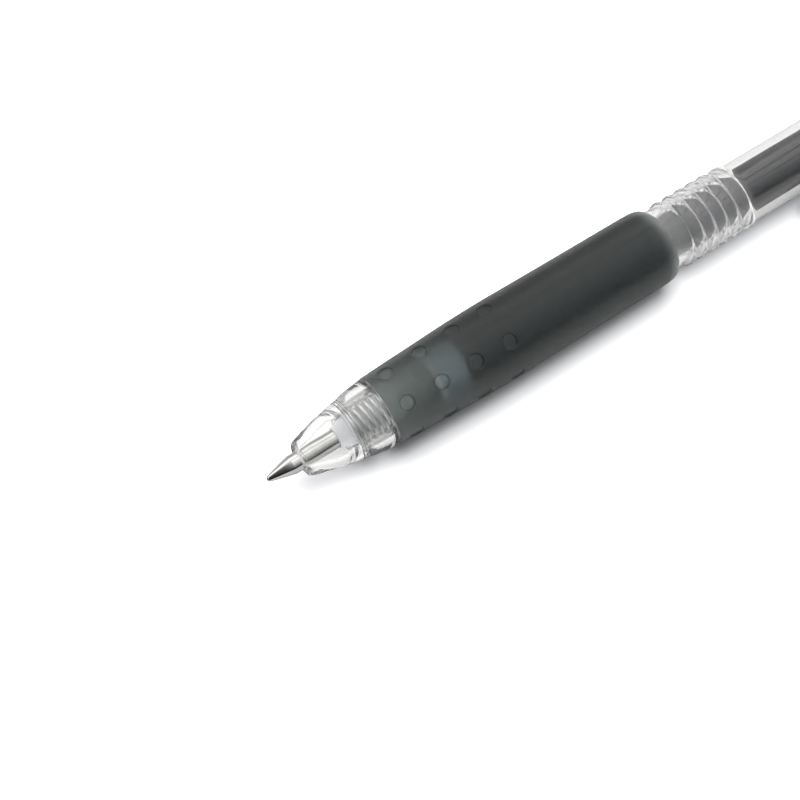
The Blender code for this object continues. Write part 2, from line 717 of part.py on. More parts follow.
# (station, lift of the inner face, lift of the outer face, half width)
LEVER_STATIONS = [
    (87.0, 6.30, 6.55, 0.45), (87.3, 5.55, 7.15, 1.00), (88.0, 5.05, 7.50, 1.40),
    (89.2, 4.72, 7.72, 1.70), (90.2, 4.72, 7.84, 1.80), (91.4, 5.10, 7.96, 1.86),
    (92.6, 5.95, 8.06, 1.90), (94.0, 6.62, 8.16, 1.90), (97.0, 6.92, 8.36, 1.90),
    (104.0, 7.16, 8.74, 1.90), (112.0, 7.36, 9.06, 1.90), (118.0, 7.30, 9.26, 1.90),
    (121.5, 7.20, 9.34, 1.90), (125.0, 7.30, 9.30, 1.90), (129.0, 7.42, 9.10, 1.90),
    (131.0, 7.50, 8.86, 1.80), (131.8, 7.62, 8.60, 1.45), (132.1, 7.85, 8.35, 0.90),
]
BOSS_R = 1.35


def lever_ring(station, inner, outer, half):
    """A rectangle with its corners cut off."""
    cut = min(0.30, (outer - inner) * 0.3, half * 0.4)
    corners = [
        (inner, -half + cut), (inner, half - cut), (inner + cut, half), (outer - cut, half),
        (outer, half - cut), (outer, -half + cut), (outer - cut, -half), (inner + cut, -half),
    ]
    return [clip_point(station, lift, across) for lift, across in corners]


def build_clip_lever():
    lever = loft([lever_ring(*row) for row in LEVER_STATIONS])
    clip = add_piece("clip_lever", lever, CLIP, origin=PIN_ORIGIN)
    combine(clip, add_helper("clip_boss", pin_bar(BOSS_R, CLIP_HALF_WIDTH)), "UNION")
    combine(clip, add_helper("clip_bore", pin_bar(PIN_R + 0.06, CUT_HALF)), "DIFFERENCE")


def build_clip_pin():
    add_piece("clip_pin", pin_bar(PIN_R, 2.90), PIN_STEEL, origin=PIN_ORIGIN)


# Clip spring, standing in the collar's pocket

CLIP_SPRING_TURNS = 3.5
CLIP_SPRING_START = CLIP_SEAT_LIFT + 0.18
CLIP_SPRING_END = 7.20


def clip_spring_rise(turn):
    """The wire climbs more slowly near both ends."""
    share = turn / CLIP_SPRING_TURNS
    eased = smooth(share) * 0.25 + share * 0.75
    return CLIP_SPRING_START + (CLIP_SPRING_END - CLIP_SPRING_START) * eased


def clip_spring_place(lift, radius, angle):
    return clip_point(CLIP_SEAT_AT + radius * math.cos(angle), lift, radius * math.sin(angle))


def build_clip_spring():
    coil("clip_spring", CLIP_SPRING, coil_r=0.85, wire_r=0.15, turns=CLIP_SPRING_TURNS,
         steps=14, rise=clip_spring_rise, place=clip_spring_place)


build_nose_cone()
build_barrel()
build_grip()
build_refill()
build_return_spring()
build_click_mechanism()
build_button()
build_collar()
build_clip_lever()
build_clip_pin()
build_clip_spring()
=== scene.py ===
"""Looks of a retractable gel pen, built over its CAD frame.

The pen lies along X, its writing tip at x = -142 mm and its button's end at x = 0, with +Z up.
Shapes are in mm: "along" is measured from the tip towards the button, "radius" from the pen's
axis, and angles turn from +Y towards +Z. Blender's own units are metres.
"""

from math import ceil, cos, hypot, inf, pi, radians, sin

import bmesh
import bpy
from mathutils import Matrix, Vector


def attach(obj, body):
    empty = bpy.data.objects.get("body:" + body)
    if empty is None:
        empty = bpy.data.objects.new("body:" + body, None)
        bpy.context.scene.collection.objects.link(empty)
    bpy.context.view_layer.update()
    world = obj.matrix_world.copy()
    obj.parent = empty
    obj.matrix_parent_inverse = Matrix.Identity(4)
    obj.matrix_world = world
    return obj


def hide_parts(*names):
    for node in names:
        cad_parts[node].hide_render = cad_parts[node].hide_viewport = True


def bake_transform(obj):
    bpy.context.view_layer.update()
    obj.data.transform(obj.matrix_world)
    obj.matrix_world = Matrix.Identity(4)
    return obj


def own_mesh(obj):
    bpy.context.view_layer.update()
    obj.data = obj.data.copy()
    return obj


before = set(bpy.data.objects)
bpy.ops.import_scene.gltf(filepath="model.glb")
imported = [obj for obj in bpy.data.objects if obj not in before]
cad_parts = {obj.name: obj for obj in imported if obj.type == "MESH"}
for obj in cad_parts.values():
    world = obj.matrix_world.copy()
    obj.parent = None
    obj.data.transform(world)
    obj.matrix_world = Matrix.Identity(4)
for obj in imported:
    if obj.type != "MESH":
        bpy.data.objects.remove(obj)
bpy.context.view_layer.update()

# Names that end in _AT are places along the pen.
MM = 0.001
LENGTH = 142.0
SHELL_SIDES = 144

# The joint between nose cone and barrel.
SEAM_AT, SEAM_GAP = 11.85, 0.06
THREAD_PITCH, THREAD_ROOT_RADIUS, THREAD_CREST_RADIUS, THREAD_PLAY = 0.92, 3.30, 3.55, 0.08
THREAD_START_AT, THREAD_END_AT = 19.00, 23.60
THREAD_FLANK = 0.22  # width of a flank along the pen
THREAD_STEPS = 14  # rows in one pitch
STEM_RADIUS, STEM_END_AT, STEM_BORE_RADIUS = 3.50, 23.90, 3.05
SEAT_AT, SEAT_BORE_RADIUS = 12.05, 2.40

# The grip and its round recesses.
GRIP_FRONT_AT, GRIP_REAR_AT = 16.90, 62.90
GRIP_MAX_RADIUS = 5.62
DIMPLE_RADIUS, DIMPLE_DEPTH = 1.05, 0.24
DIMPLE_FIRST_AT, DIMPLE_PITCH, DIMPLE_ROWS, DIMPLE_COLUMNS = 19.40, 5.25, 4, 6
DIMPLE_TURN = radians(124.4)


# ---------------------------------------------------------------- curves and sections
def pen_point(along, radius, angle):
    return ((along - LENGTH) * MM, radius * cos(angle) * MM, radius * sin(angle) * MM)


def smooth(x):
    x = min(1.0, max(0.0, x))
    return x * x * (3 - 2 * x)


def hermite(start, end, start_slope, end_slope, x):
    return (
        (2 * x**3 - 3 * x**2 + 1) * start
        + (x**3 - 2 * x**2 + x) * start_slope
        + (-2 * x**3 + 3 * x**2) * end
        + (x**3 - x**2) * end_slope
    )


def slopes_without_overshoot(values, spans):
    rates = [(values[k + 1] - values[k]) / span for k, span in enumerate(spans)]
    slopes = [rates[0]]
    for k in range(1, len(rates)):
        if rates[k - 1] * rates[k] <= 0:
            slopes.append(0.0)
        else:
            weight_before = 2 * spans[k] + spans[k - 1]
            weight_after = spans[k] + 2 * spans[k - 1]
            total = weight_before + weight_after
            slopes.append(total / (weight_before / rates[k - 1] + weight_after / rates[k]))
    return slopes + [rates[-1]]


def curve(points, step):
    """Points joined by a smooth curve that doesn't overshoot, sampled about every step mm."""
    reach = [0.0]
    for (along, radius), (next_along, next_radius) in zip(points[:-1], points[1:]):
        reach.append(reach[-1] + hypot(next_along - along, next_radius - radius))
    spans = [after - before for before, after in zip(reach[:-1], reach[1:])]
    slopes = [slopes_without_overshoot(values, spans) for values in zip(*points)]
    sampled = []
    for k, span in enumerate(spans):
        cuts = ceil(span / step)
        for cut in range(cuts):
            sampled.append(tuple(
                hermite(
                    points[k][axis], points[k + 1][axis],
                    slopes[axis][k] * span, slopes[axis][k + 1] * span, cut / cuts,
                )
                for axis in (0, 1)
            ))
    return sampled + [points[-1]]


def arc(centre_along, centre_radius, size, start, end, steps):
    """A rounded corner: degrees from the pen's length towards its radius."""
    angles = [radians(start + (end - start) * k / steps) for k in range(steps + 1)]
    return [(centre_along + size * cos(a), centre_radius + size * sin(a)) for a in angles]


def circle(centre_x, centre_y, radius, sides):
    angles = [2 * pi * k / sides for k in range(sides)]
    return [(centre_x + radius * cos(a), centre_y + radius * sin(a)) for a in angles]


def tagged(points, first_tag=0):
    return [(first_tag + k, along, radius) for k, (along, radius) in enumerate(points)]


# ---------------------------------------------------------------- meshes
THREAD_TAG, AFTER_THREAD_TAG, TAG_LIMIT = 1000, 3000, 2000


def skin(columns, tags_per_turn=0):
    """Joins closed sections round the axis; columns are (angle, [(tag, along, radius), ...]).

    Rows with the same tag are joined by quads, and a row with no partner by a triangle. Thread
    rows drop by tags_per_turn where the last column meets the first.
    """
    shape = bmesh.new()
    known = {}

    def vertex(along, radius, angle):
        place = pen_point(along, radius, angle)
        key = tuple(round(c * 2e8) for c in place)
        if key not in known:
            known[key] = shape.verts.new(place)
        return known[key]

    def face(*corners):
        kept = list(dict.fromkeys(corners))
        if len(kept) < 3:
            return
        try:
            shape.faces.new(kept)
        except ValueError:
            pass  # merged vertices can ask for a face that is already there

    rows = [
        [(tag, vertex(along, radius, angle)) for tag, along, radius in section]
        for angle, section in columns
    ]
    closing = [
        (tag - tags_per_turn if THREAD_TAG <= tag < TAG_LIMIT else tag, v) for tag, v in rows[0]
    ]
    rows.append(sorted(closing, key=lambda row: row[0]))
    for left, right in zip(rows[:-1], rows[1:]):
        i = j = 0
        while i < len(left) - 1 or j < len(right) - 1:
            next_left = left[i + 1][0] if i < len(left) - 1 else inf
            next_right = right[j + 1][0] if j < len(right) - 1 else inf
            if next_left == next_right:
                face(left[i][1], left[i + 1][1], right[j + 1][1], right[j][1])
                i, j = i + 1, j + 1
            elif next_left < next_right:
                face(left[i][1], left[i + 1][1], right[j][1])
                i += 1
            else:
                face(left[i][1], right[j + 1][1], right[j][1])
                j += 1
        face(left[-1][1], left[0][1], right[0][1], right[-1][1])
    return shape


def lathe(section, sides):
    rows = tagged(section)
    return skin([(2 * pi * s / sides, rows) for s in range(sides)])


def prism(near, far):
    """A solid between two outlines with the same number of points."""
    shape = bmesh.new()
    one = [shape.verts.new(place) for place in near]
    two = [shape.verts.new(place) for place in far]
    shape.faces.new(one)
    shape.faces.new(list(reversed(two)))
    for k in range(len(one)):
        n = (k + 1) % len(one)
        shape.faces.new((one[n], one[k], two[k], two[n]))
    return shape


def loft(rings):
    """A closed skin over a row of rings, capped at both ends."""
    shape = bmesh.new()
    rings = [[shape.verts.new(place) for place in ring] for ring in rings]
    for one, two in zip(rings[:-1], rings[1:]):
        for k in range(len(one)):
            n = (k + 1) % len(one)
            shape.faces.new((one[k], one[n], two[n], two[k]))
    shape.faces.new(rings[0])
    shape.faces.new(list(reversed(rings[-1])))
    return shape


def coil(radius, wire, turns, steps, sides, height, place):
    """A coil of round wire, tapered at its ends.

    height(turn) follows the wire, and place(height, radius, angle) gives a point in the scene.
    """
    total = int(turns * steps)
    rings = []
    for k in range(total + 1):
        centre = height(k / steps)
        taper = min(1.0, 0.45 + min(k, total - k) / (steps * 0.5))
        ring = []
        for s in range(sides):
            around = 2 * pi * s / sides
            distance = radius + wire * cos(around)
            ring.append(place(centre + wire * taper * sin(around), distance, 2 * pi * k / steps))
        rings.append(ring)
    return loft(rings)


def link_mesh(name, shape):
    bmesh.ops.recalc_face_normals(shape, faces=shape.faces)
    mesh = bpy.data.meshes.new(name)
    shape.to_mesh(mesh)
    shape.free()
    piece = bpy.data.objects.new(name, mesh)
    bpy.context.scene.collection.objects.link(piece)
    return piece


def shade(mesh, sharp):
    mesh.shade_smooth()
    mesh.set_sharp_from_angle(angle=radians(sharp))


def settle(name, shape, slot, sharp, body=None, replaced=None):
    """Makes a piece; edges over sharp degrees stay crisp, and slot names its material."""
    piece = link_mesh(name, shape)
    piece.data.materials.append(materials[slot])
    shade(piece.data, sharp)
    if body:
        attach(piece, body)
        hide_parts(replaced)
    return piece


def apply_modifier(piece, modifier):
    bpy.context.view_layer.update()
    evaluated = piece.evaluated_get(bpy.context.evaluated_depsgraph_get())
    mesh = bpy.data.meshes.new_from_object(evaluated)
    piece.modifiers.remove(modifier)
    old_mesh = piece.data
    piece.data = mesh
    bpy.data.meshes.remove(old_mesh)


def combine(piece, shape, operation):
    other = link_mesh("tool", shape)
    modifier = piece.modifiers.new("join", "BOOLEAN")
    modifier.operation = operation
    modifier.solver = "EXACT"
    modifier.object = other
    apply_modifier(piece, modifier)
    bpy.data.objects.remove(other)


def soften(piece, width, segments):
    """Rounds edges sharper than 40 degrees; width is in mm."""
    modifier = piece.modifiers.new("soft_edges", "BEVEL")
    modifier.width = width * MM
    modifier.segments = segments
    modifier.limit_method = "ANGLE"
    modifier.angle_limit = radians(40)
    apply_modifier(piece, modifier)
    shade(piece.data, 40)


# ---------------------------------------------------------------- shader helpers
materials = {}


def new_material(name):
    material = bpy.data.materials.new(name)
    material.use_nodes = True
    materials[name] = material
    tree = material.node_tree
    return tree, tree.nodes["Principled BSDF"], tree.nodes["Material Output"]


def feed(tree, node, inputs):
    """Sets inputs, by name or number: sockets are linked and plain values are stored."""
    for key, value in inputs.items():
        if isinstance(value, bpy.types.NodeSocket):
            tree.links.new(value, node.inputs[key])
        else:
            node.inputs[key].default_value = value


def add(tree, kind, inputs=None, **settings):
    node = tree.nodes.new("ShaderNode" + kind)
    for key, value in settings.items():
        setattr(node, key, value)
    feed(tree, node, inputs or {})
    return node


def calc(tree, operation, *values):
    return add(tree, "Math", dict(enumerate(values)), operation=operation).outputs[0]


def rgba(colour):
    return (*colour, 1)


def mix_colours(tree, factor, first, second, **settings):
    inputs = {"Factor": factor, "A": first, "B": second}
    return add(tree, "Mix", inputs, data_type="RGBA", **settings).outputs["Result"]


def mix_shaders(tree, factor, first, second):
    return add(tree, "MixShader", {"Fac": factor, 1: first, 2: second}).outputs["Shader"]


def add_shaders(tree, first, second):
    return add(tree, "AddShader", {0: first, 1: second}).outputs["Shader"]


def noise(tree, scale, detail, rough=0.55, distortion=0.0, stretch=(1, 1, 1)):
    coord = add(tree, "TexCoord")
    mapping = add(tree, "Mapping", {"Vector": coord.outputs["Object"], "Scale": stretch})
    texture = add(tree, "TexNoise", {
        "Vector": mapping.outputs["Vector"],
        "Scale": scale,
        "Detail": detail,
        "Roughness": rough,
        "Distortion": distortion,
    })
    return texture.outputs["Fac"]


def map_range(tree, value, target, source=(0.0, 1.0), interpolation="LINEAR"):
    inputs = {
        "Value": value,
        "From Min": source[0], "From Max": source[1],
        "To Min": target[0], "To Max": target[1],
    }
    return add(tree, "MapRange", inputs, interpolation_type=interpolation).outputs["Result"]


def colour_ramp(tree, factor, stops, interpolation="LINEAR"):
    """stops are (position from 0 to 1, RGB colour)."""
    node = add(tree, "ValToRGB", {"Fac": factor})
    node.color_ramp.interpolation = interpolation
    elements = node.color_ramp.elements
    while len(elements) < len(stops):
        elements.new(0.5)
    for element, (position, colour) in zip(elements, stops):
        element.position = position
        element.color = rgba(colour)
    return node.outputs["Color"]


def tint(tree, source, one, two):
    return colour_ramp(tree, source, [(0.35, one), (0.65, two)])


def bump(tree, shader, source, strength, distance):
    inputs = {"Height": source, "Strength": strength, "Distance": distance}
    node = add(tree, "Bump", inputs)
    feed(tree, shader, {"Normal": node.outputs["Normal"]})


def by_place(tree, stops):
    """A value that changes along the pen: stops are (mm from the tip, value)."""
    place = add(tree, "NewGeometry")
    split = add(tree, "SeparateXYZ", {"Vector": place.outputs["Position"]})
    share = map_range(tree, split.outputs["X"], target=(0.0, 1.0), source=(-LENGTH * MM, 0.0))
    return colour_ramp(tree, share, [(along / LENGTH, (value,) * 3) for along, value in stops])


def off_axis(tree, place):
    """The vector from the pen's axis out to the shaded place."""
    inputs = {0: place.outputs["Position"], 1: (0, 1, 1)}
    return add(tree, "VectorMath", inputs, operation="MULTIPLY").outputs["Vector"]


def is_lighting_ray(tree, path):
    return calc(tree, "MAXIMUM", path.outputs["Is Shadow Ray"], path.outputs["Is Diffuse Ray"])


def let_light_through(tree, shader, output, film, outward, deep, depth):
    """Clear pieces cast a pale shadow: lighting rays and rays caught inside see a tinted film.

    film tints lighting rays that head inward, outward those that head away from the axis, and
    deep tints rays caught after more than depth transmissions or several reflections.
    """
    path = add(tree, "LightPath")
    caught = calc(tree, "GREATER_THAN", path.outputs["Transmission Depth"], depth)
    lighting = is_lighting_ray(tree, path)
    trapped = calc(tree, "GREATER_THAN", path.outputs["Glossy Depth"], 2.5)
    stopped = calc(tree, "MAXIMUM", caught, trapped)
    sees_film = calc(tree, "MAXIMUM", lighting, stopped)
    place = add(tree, "NewGeometry")
    dot = add(
        tree, "VectorMath", {0: off_axis(tree, place), 1: place.outputs["Incoming"]},
        operation="DOT_PRODUCT",
    )
    leaving = calc(tree, "LESS_THAN", dot.outputs["Value"], 0.0)
    light_tint = mix_colours(tree, leaving, rgba(film), rgba(outward))
    film_tint = mix_colours(tree, lighting, rgba(deep), light_tint)
    film_shader = add(tree, "BsdfTransparent", {"Color": rgba(film)})
    feed(tree, film_shader, {"Color": film_tint})
    mixed = mix_shaders(tree, sees_film, shader.outputs["BSDF"], film_shader.outputs["BSDF"])
    feed(tree, output, {"Surface": mixed})


# ---------------------------------------------------------------- materials
def clear_plastic(name, colour, rough, ior, film, outward, wave, haze, ringed):
    """Clear moulded plastic.

    haze is the share of light it scatters, ringed that share at the raised rings, and wave the
    strength of its uneven surface.
    """
    tree, shader, output = new_material(name)
    under_grip = 0.006
    scattered = [
        (0, haze * 0.5), (16.6, haze * 0.5), (17.2, under_grip), (62.6, under_grip),
        (63.4, ringed), (76.6, ringed), (77.4, haze * 0.3),
    ]
    texture = noise(tree, scale=260.0, detail=3.0, rough=0.5, distortion=0.4, stretch=(0.25, 1, 1))
    feed(tree, shader, {
        "Transmission Weight": by_place(tree, [(along, 1.0 - part) for along, part in scattered]),
        "IOR": ior,
        "Roughness": map_range(tree, texture, target=(rough * 0.6, rough * 1.6)),
        "Base Color": tint(tree, texture, tuple(c * 0.985 for c in colour), colour),
    })
    bump(tree, shader, texture, strength=wave, distance=0.0002)
    let_light_through(
        tree, shader, output, film=film, outward=outward, deep=(0.985, 0.985, 0.985), depth=9,
    )


def moulded(
    name, colour, rough, speck=0.12, scale=900.0, strength=0.08, coat=0.0, transmission=0.0,
    specular=0.5,
):
    """Moulded plastic: speck is how much darker its specks are, strength that of its bumps."""
    tree, shader, _ = new_material(name)
    texture = noise(tree, scale=scale, detail=5.0, rough=0.6)
    dark = tuple(max(0.0, c * (1 - speck)) for c in colour)
    feed(tree, shader, {
        "Base Color": tint(tree, texture, dark, colour),
        "Roughness": map_range(tree, texture, target=(rough * 0.8, rough * 1.25)),
        "Coat Weight": coat,
        "Coat Roughness": 0.08,
        "Transmission Weight": transmission,
        "Specular IOR Level": specular,
    })
    bump(tree, shader, texture, strength=strength, distance=0.00002)


def metal(name, colour, rough, turned=False):
    """Turned or drawn metal: rings along the axis, with faint streaks."""
    tree, shader, _ = new_material(name)
    coord = add(tree, "TexCoord")
    rings = add(tree, "TexWave", {
        "Vector": coord.outputs["Object"],
        "Scale": 5200.0 if turned else 900.0,
        "Distortion": 0.6,
        "Detail": 3.0,
    }, wave_type="BANDS", bands_direction="X")
    grain = noise(tree, scale=1800.0, detail=4.0, rough=0.6, stretch=(0.2, 1, 1))
    feed(tree, shader, {
        "Metallic": 1.0,
        "Base Color": tint(tree, grain, tuple(c * 0.93 for c in colour), colour),
        "Roughness": map_range(tree, grain, target=(rough * 0.75, rough * 1.3)),
    })
    ring_strength = 0.05 if turned else 0.02
    bump(tree, shader, rings.outputs["Fac"], strength=ring_strength, distance=0.00001)


def painted_rim_shade(tree, position, distance_from_axis):
    """1 on the moulded edge round each of the grip's recesses, where the rubber gets a ring of
    painted shade, 0 elsewhere.
    """
    rim_radius, rim_half_width = 0.98, 0.15
    split = add(tree, "SeparateXYZ", {"Vector": position})
    along = calc(tree, "MULTIPLY_ADD", split.outputs["X"], 1 / MM, LENGTH - DIMPLE_FIRST_AT)
    nearest = calc(tree, "ROUND", calc(tree, "DIVIDE", along, DIMPLE_PITCH))
    row = calc(tree, "MINIMUM", calc(tree, "MAXIMUM", nearest, 0.0), DIMPLE_ROWS - 1.0)
    off = calc(tree, "SUBTRACT", along, calc(tree, "MULTIPLY", row, DIMPLE_PITCH))
    angle = calc(tree, "ARCTAN2", split.outputs["Z"], split.outputs["Y"])
    turned = calc(tree, "SUBTRACT", angle, DIMPLE_TURN)
    turn = calc(tree, "PINGPONG", turned, pi / DIMPLE_COLUMNS)
    across = calc(tree, "MULTIPLY", turn, calc(tree, "DIVIDE", distance_from_axis, MM))
    off_squared = calc(tree, "MULTIPLY", off, off)
    across_squared = calc(tree, "MULTIPLY", across, across)
    distance = calc(tree, "SQRT", calc(tree, "ADD", off_squared, across_squared))
    from_rim = calc(tree, "ABSOLUTE", calc(tree, "SUBTRACT", distance, rim_radius))
    line = calc(tree, "SUBTRACT", 1.0, calc(tree, "DIVIDE", from_rim, rim_half_width))
    return calc(tree, "MAXIMUM", line, 0.0)


def smoky_rubber(name):
    """Smoke-grey rubber: clear at a thin edge, near black through its wall, with a satin skin."""
    density, density_for_lighting = 2250.0, 60.0
    inner_wall_radius = 4.5
    tree, shader, output = new_material(name)
    fine = noise(tree, scale=1400.0, detail=4.0, rough=0.6)
    broad = noise(tree, scale=90.0, detail=2.0, rough=0.5)
    place = add(tree, "NewGeometry")
    distance = add(tree, "VectorMath", {0: off_axis(tree, place)}, operation="LENGTH")
    distance = distance.outputs["Value"]
    # Painted shade: the base colour turns dark grey on a ring round each recess.
    colour = mix_colours(
        tree,
        painted_rim_shade(tree, place.outputs["Position"], distance),
        tint(tree, broad, (0.86, 0.90, 0.90), (0.92, 0.95, 0.95)),
        (0.30, 0.31, 0.31, 1),
    )
    roughness = add(tree, "Mix", {
        "Factor": calc(tree, "LESS_THAN", distance, inner_wall_radius * MM),
        "A": map_range(tree, fine, target=(0.40, 0.50)),
        "B": 0.85,
    })
    feed(tree, shader, {
        "Base Color": colour,
        "Roughness": roughness.outputs["Result"],
        "IOR": 1.42,
        "Specular IOR Level": 0.22,
        "Coat Weight": 0.53,
        "Coat IOR": 1.40,
        "Coat Roughness": 0.17,
        "Transmission Weight": 0.985,
    })
    bump(tree, shader, fine, strength=0.08, distance=0.00003)
    let_light_through(
        tree, shader, output,
        film=(0.08, 0.085, 0.085), outward=(1.46, 1.48, 1.44), deep=(0.5, 0.5, 0.5), depth=3,
    )
    lighting = is_lighting_ray(tree, add(tree, "LightPath"))
    ray_density = map_range(tree, lighting, target=(density, density_for_lighting))
    # The smoke thins out towards the rear edge.
    thinning = by_place(tree, [(0, 1.0), (60.8, 1.0), (62.2, 0.28), (62.9, 0.16)])
    absorb = add(tree, "VolumeAbsorption", {
        "Color": (0.32, 0.355, 0.36, 1),
        "Density": calc(tree, "MULTIPLY", ray_density, thinning),
    })
    feed(tree, output, {"Volume": absorb.outputs["Volume"]})


def milky(name):
    """Milky plastic with painted shade: a darker band round its flange."""
    tree, shader, _ = new_material(name)
    texture = noise(tree, scale=500.0, detail=3.0, rough=0.5)
    # Painted shade: the base colour is multiplied down to 0.55 round the flange.
    flange_shade_band = [(0, 1.0), (24.0, 1.0), (24.35, 0.55), (25.3, 0.55), (25.7, 1.0), (30.0, 1.0)]
    pale = tint(tree, texture, (0.80, 0.83, 0.86), (0.88, 0.90, 0.92))
    feed(tree, shader, {
        "Base Color": mix_colours(tree, 1.0, pale, by_place(tree, flange_shade_band), blend_type="MULTIPLY"),
        "Roughness": map_range(tree, texture, target=(0.40, 0.55)),
        "Subsurface Weight": 0.25,
        "Subsurface Radius": (0.001, 0.001, 0.001),
        "Subsurface Scale": 0.5,
    })
    bump(tree, shader, texture, strength=0.05, distance=0.00002)


clear_plastic(
    "clear_nose_plastic", colour=(0.965, 0.97, 0.965), rough=0.012, ior=1.49,
    film=(0.68, 0.68, 0.685), outward=(1.05, 1.05, 1.05), wave=0.015, haze=0.025, ringed=0.13,
)
clear_plastic(
    "clear_plastic", colour=(0.965, 0.965, 0.965), rough=0.010, ior=1.49,
    film=(0.62, 0.625, 0.63), outward=(1.0, 1.0, 1.0), wave=0.015, haze=0.05, ringed=0.13,
)
clear_plastic(
    "tube_plastic", colour=(0.86, 0.89, 0.93), rough=0.05, ior=1.45,
    film=(0.78, 0.80, 0.82), outward=(0.78, 0.80, 0.82), wave=0.02, haze=0.004, ringed=0.04,
)
smoky_rubber("smoke_rubber")
metal("point_steel", colour=(0.90, 0.88, 0.85), rough=0.11, turned=True)
metal("ball_carbide", colour=(0.30, 0.30, 0.31), rough=0.20)
milky("milky_plastic")
metal("spring_steel", colour=(0.94, 0.94, 0.92), rough=0.16)
metal("clip_spring_steel", colour=(0.60, 0.60, 0.60), rough=0.22)
metal("pin_steel", colour=(0.62, 0.62, 0.61), rough=0.20)
metal("valve_steel", colour=(0.66, 0.66, 0.66), rough=0.15)
moulded(
    "black_ink", colour=(0.012, 0.012, 0.016), rough=0.30, speck=0.5, scale=300.0,
    strength=0.03, specular=0.03,
)
moulded(
    "follower_grease", colour=(0.78, 0.72, 0.56), rough=0.25, speck=0.1, scale=400.0,
    strength=0.05, transmission=0.5,
)
moulded("plug_plastic", colour=(0.05, 0.05, 0.055), rough=0.38)
moulded("guide_plastic", colour=(0.82, 0.83, 0.84), rough=0.38, speck=0.05)
moulded("rotor_plastic", colour=(0.74, 0.76, 0.78), rough=0.35, speck=0.05)
moulded("plunger_plastic", colour=(0.05, 0.05, 0.055), rough=0.35)
for name, colour, rough in (
    ("button_plastic", (0.014, 0.014, 0.016), 0.22),
    ("collar_plastic", (0.016, 0.016, 0.018), 0.24),
    ("clip_plastic", (0.014, 0.014, 0.016), 0.20),
):
    moulded(name, colour, rough, speck=0.25, scale=700.0, strength=0.05, coat=0.3)


# ---------------------------------------------------------------- screw thread
def male_share(offset):
    """Height of the stem's thread, 0 at the root and 1 at the crest; offset is mm in a pitch."""
    fall_from = 0.40
    if offset < fall_from:
        return smooth(offset / THREAD_FLANK)
    return 1 - smooth((offset - fall_from) / THREAD_FLANK)


def female_share(offset):
    """0 at the groove's bottom, 1 at the ridge between grooves; offset is mm in a pitch."""
    lead, rise_from = 0.06, 0.46
    if offset < rise_from:
        return 1 - smooth((offset + lead) / THREAD_FLANK)
    if offset < THREAD_PITCH - lead:
        return smooth((offset - rise_from) / THREAD_FLANK)
    return 1 - smooth((offset - (THREAD_PITCH - lead)) / THREAD_FLANK)


def helix_rows(angle, base_radius, other_radius, share):
    """Thread rows at one angle, which fade out at both ends of the thread."""
    end_margin, fade_length = 0.03, 0.45
    rows = []
    turns = int((THREAD_END_AT - THREAD_START_AT) / THREAD_PITCH) + 3
    for k in range(-2, turns):
        for m in range(THREAD_STEPS):
            x = m / THREAD_STEPS
            along = THREAD_START_AT + THREAD_PITCH * (k + angle / (2 * pi) + x)
            if THREAD_START_AT + end_margin < along < THREAD_END_AT - end_margin:
                fade = smooth((along - THREAD_START_AT) / fade_length)
                fade *= smooth((THREAD_END_AT - along) / fade_length)
                height = (other_radius - base_radius) * share(x * THREAD_PITCH) * fade
                # The 100 keeps the tags of the rows before the first turn above THREAD_TAG.
                tag = THREAD_TAG + 100 + k * THREAD_STEPS + m
                rows.append((tag, along, base_radius + height))
    return rows


def threaded_shell(before, after, base_radius, other_radius, share):
    """A turned shell whose section has the thread between the points before and after it."""
    columns = []
    for s in range(SHELL_SIDES):
        angle = 2 * pi * s / SHELL_SIDES
        section = tagged(before) + helix_rows(angle, base_radius, other_radius, share)
        columns.append((angle, section + tagged(after, AFTER_THREAD_TAG)))
    return skin(columns, THREAD_STEPS)


# ---------------------------------------------------------------- nose cone
# Sections from here on are tables of (along, radius).
nose_outside = curve([
    (5.02, 1.50), (4.86, 1.70), (4.80, 1.95), (4.90, 2.24), (5.15, 2.44), (5.60, 2.62),
    (6.35, 2.86), (7.40, 3.11), (8.40, 3.38), (9.40, 3.61), (10.50, 3.82), (11.30, 3.99),
    (11.76, 4.09),
], 0.12)
nose_stem = [
    *arc(SEAM_AT - 0.06, 4.04, 0.06, 80, 0, 4),
    (SEAM_AT, 3.8), (SEAM_AT, STEM_RADIUS + 0.08),
    *arc(SEAM_AT + 0.08, STEM_RADIUS + 0.08, 0.08, 180, 270, 3),
    (15.5, STEM_RADIUS), (THREAD_START_AT - 0.26, STEM_RADIUS),
    (THREAD_START_AT - 0.20, STEM_RADIUS - 0.02), (THREAD_START_AT, THREAD_ROOT_RADIUS),
]
nose_inside = [
    (THREAD_END_AT, THREAD_ROOT_RADIUS), (STEM_END_AT, THREAD_ROOT_RADIUS - 0.12),
    (STEM_END_AT, STEM_BORE_RADIUS + 0.04), (STEM_END_AT - 0.04, STEM_BORE_RADIUS),
    (18.0, STEM_BORE_RADIUS), (SEAT_AT + 0.10, STEM_BORE_RADIUS),
    *arc(SEAT_AT + 0.10, STEM_BORE_RADIUS - 0.10, 0.10, 90, 180, 4),
    (SEAT_AT, SEAT_BORE_RADIUS + 0.05), (SEAT_AT - 0.05, SEAT_BORE_RADIUS),
    *curve([
        (11.9, SEAT_BORE_RADIUS), (11.6, 2.42), (11.2, 2.46), (10.4, 2.50), (9.4, 2.36),
        (8.4, 2.12), (7.5, 1.84), (6.9, 1.62), (6.4, 1.50), (5.9, 1.45), (5.3, 1.45),
    ], 0.2),
]
nose = threaded_shell(
    nose_outside + nose_stem, nose_inside, THREAD_ROOT_RADIUS, THREAD_CREST_RADIUS, male_share,
)
settle("nose_shell", nose, "clear_nose_plastic", 40, "nose", "nose_cone")

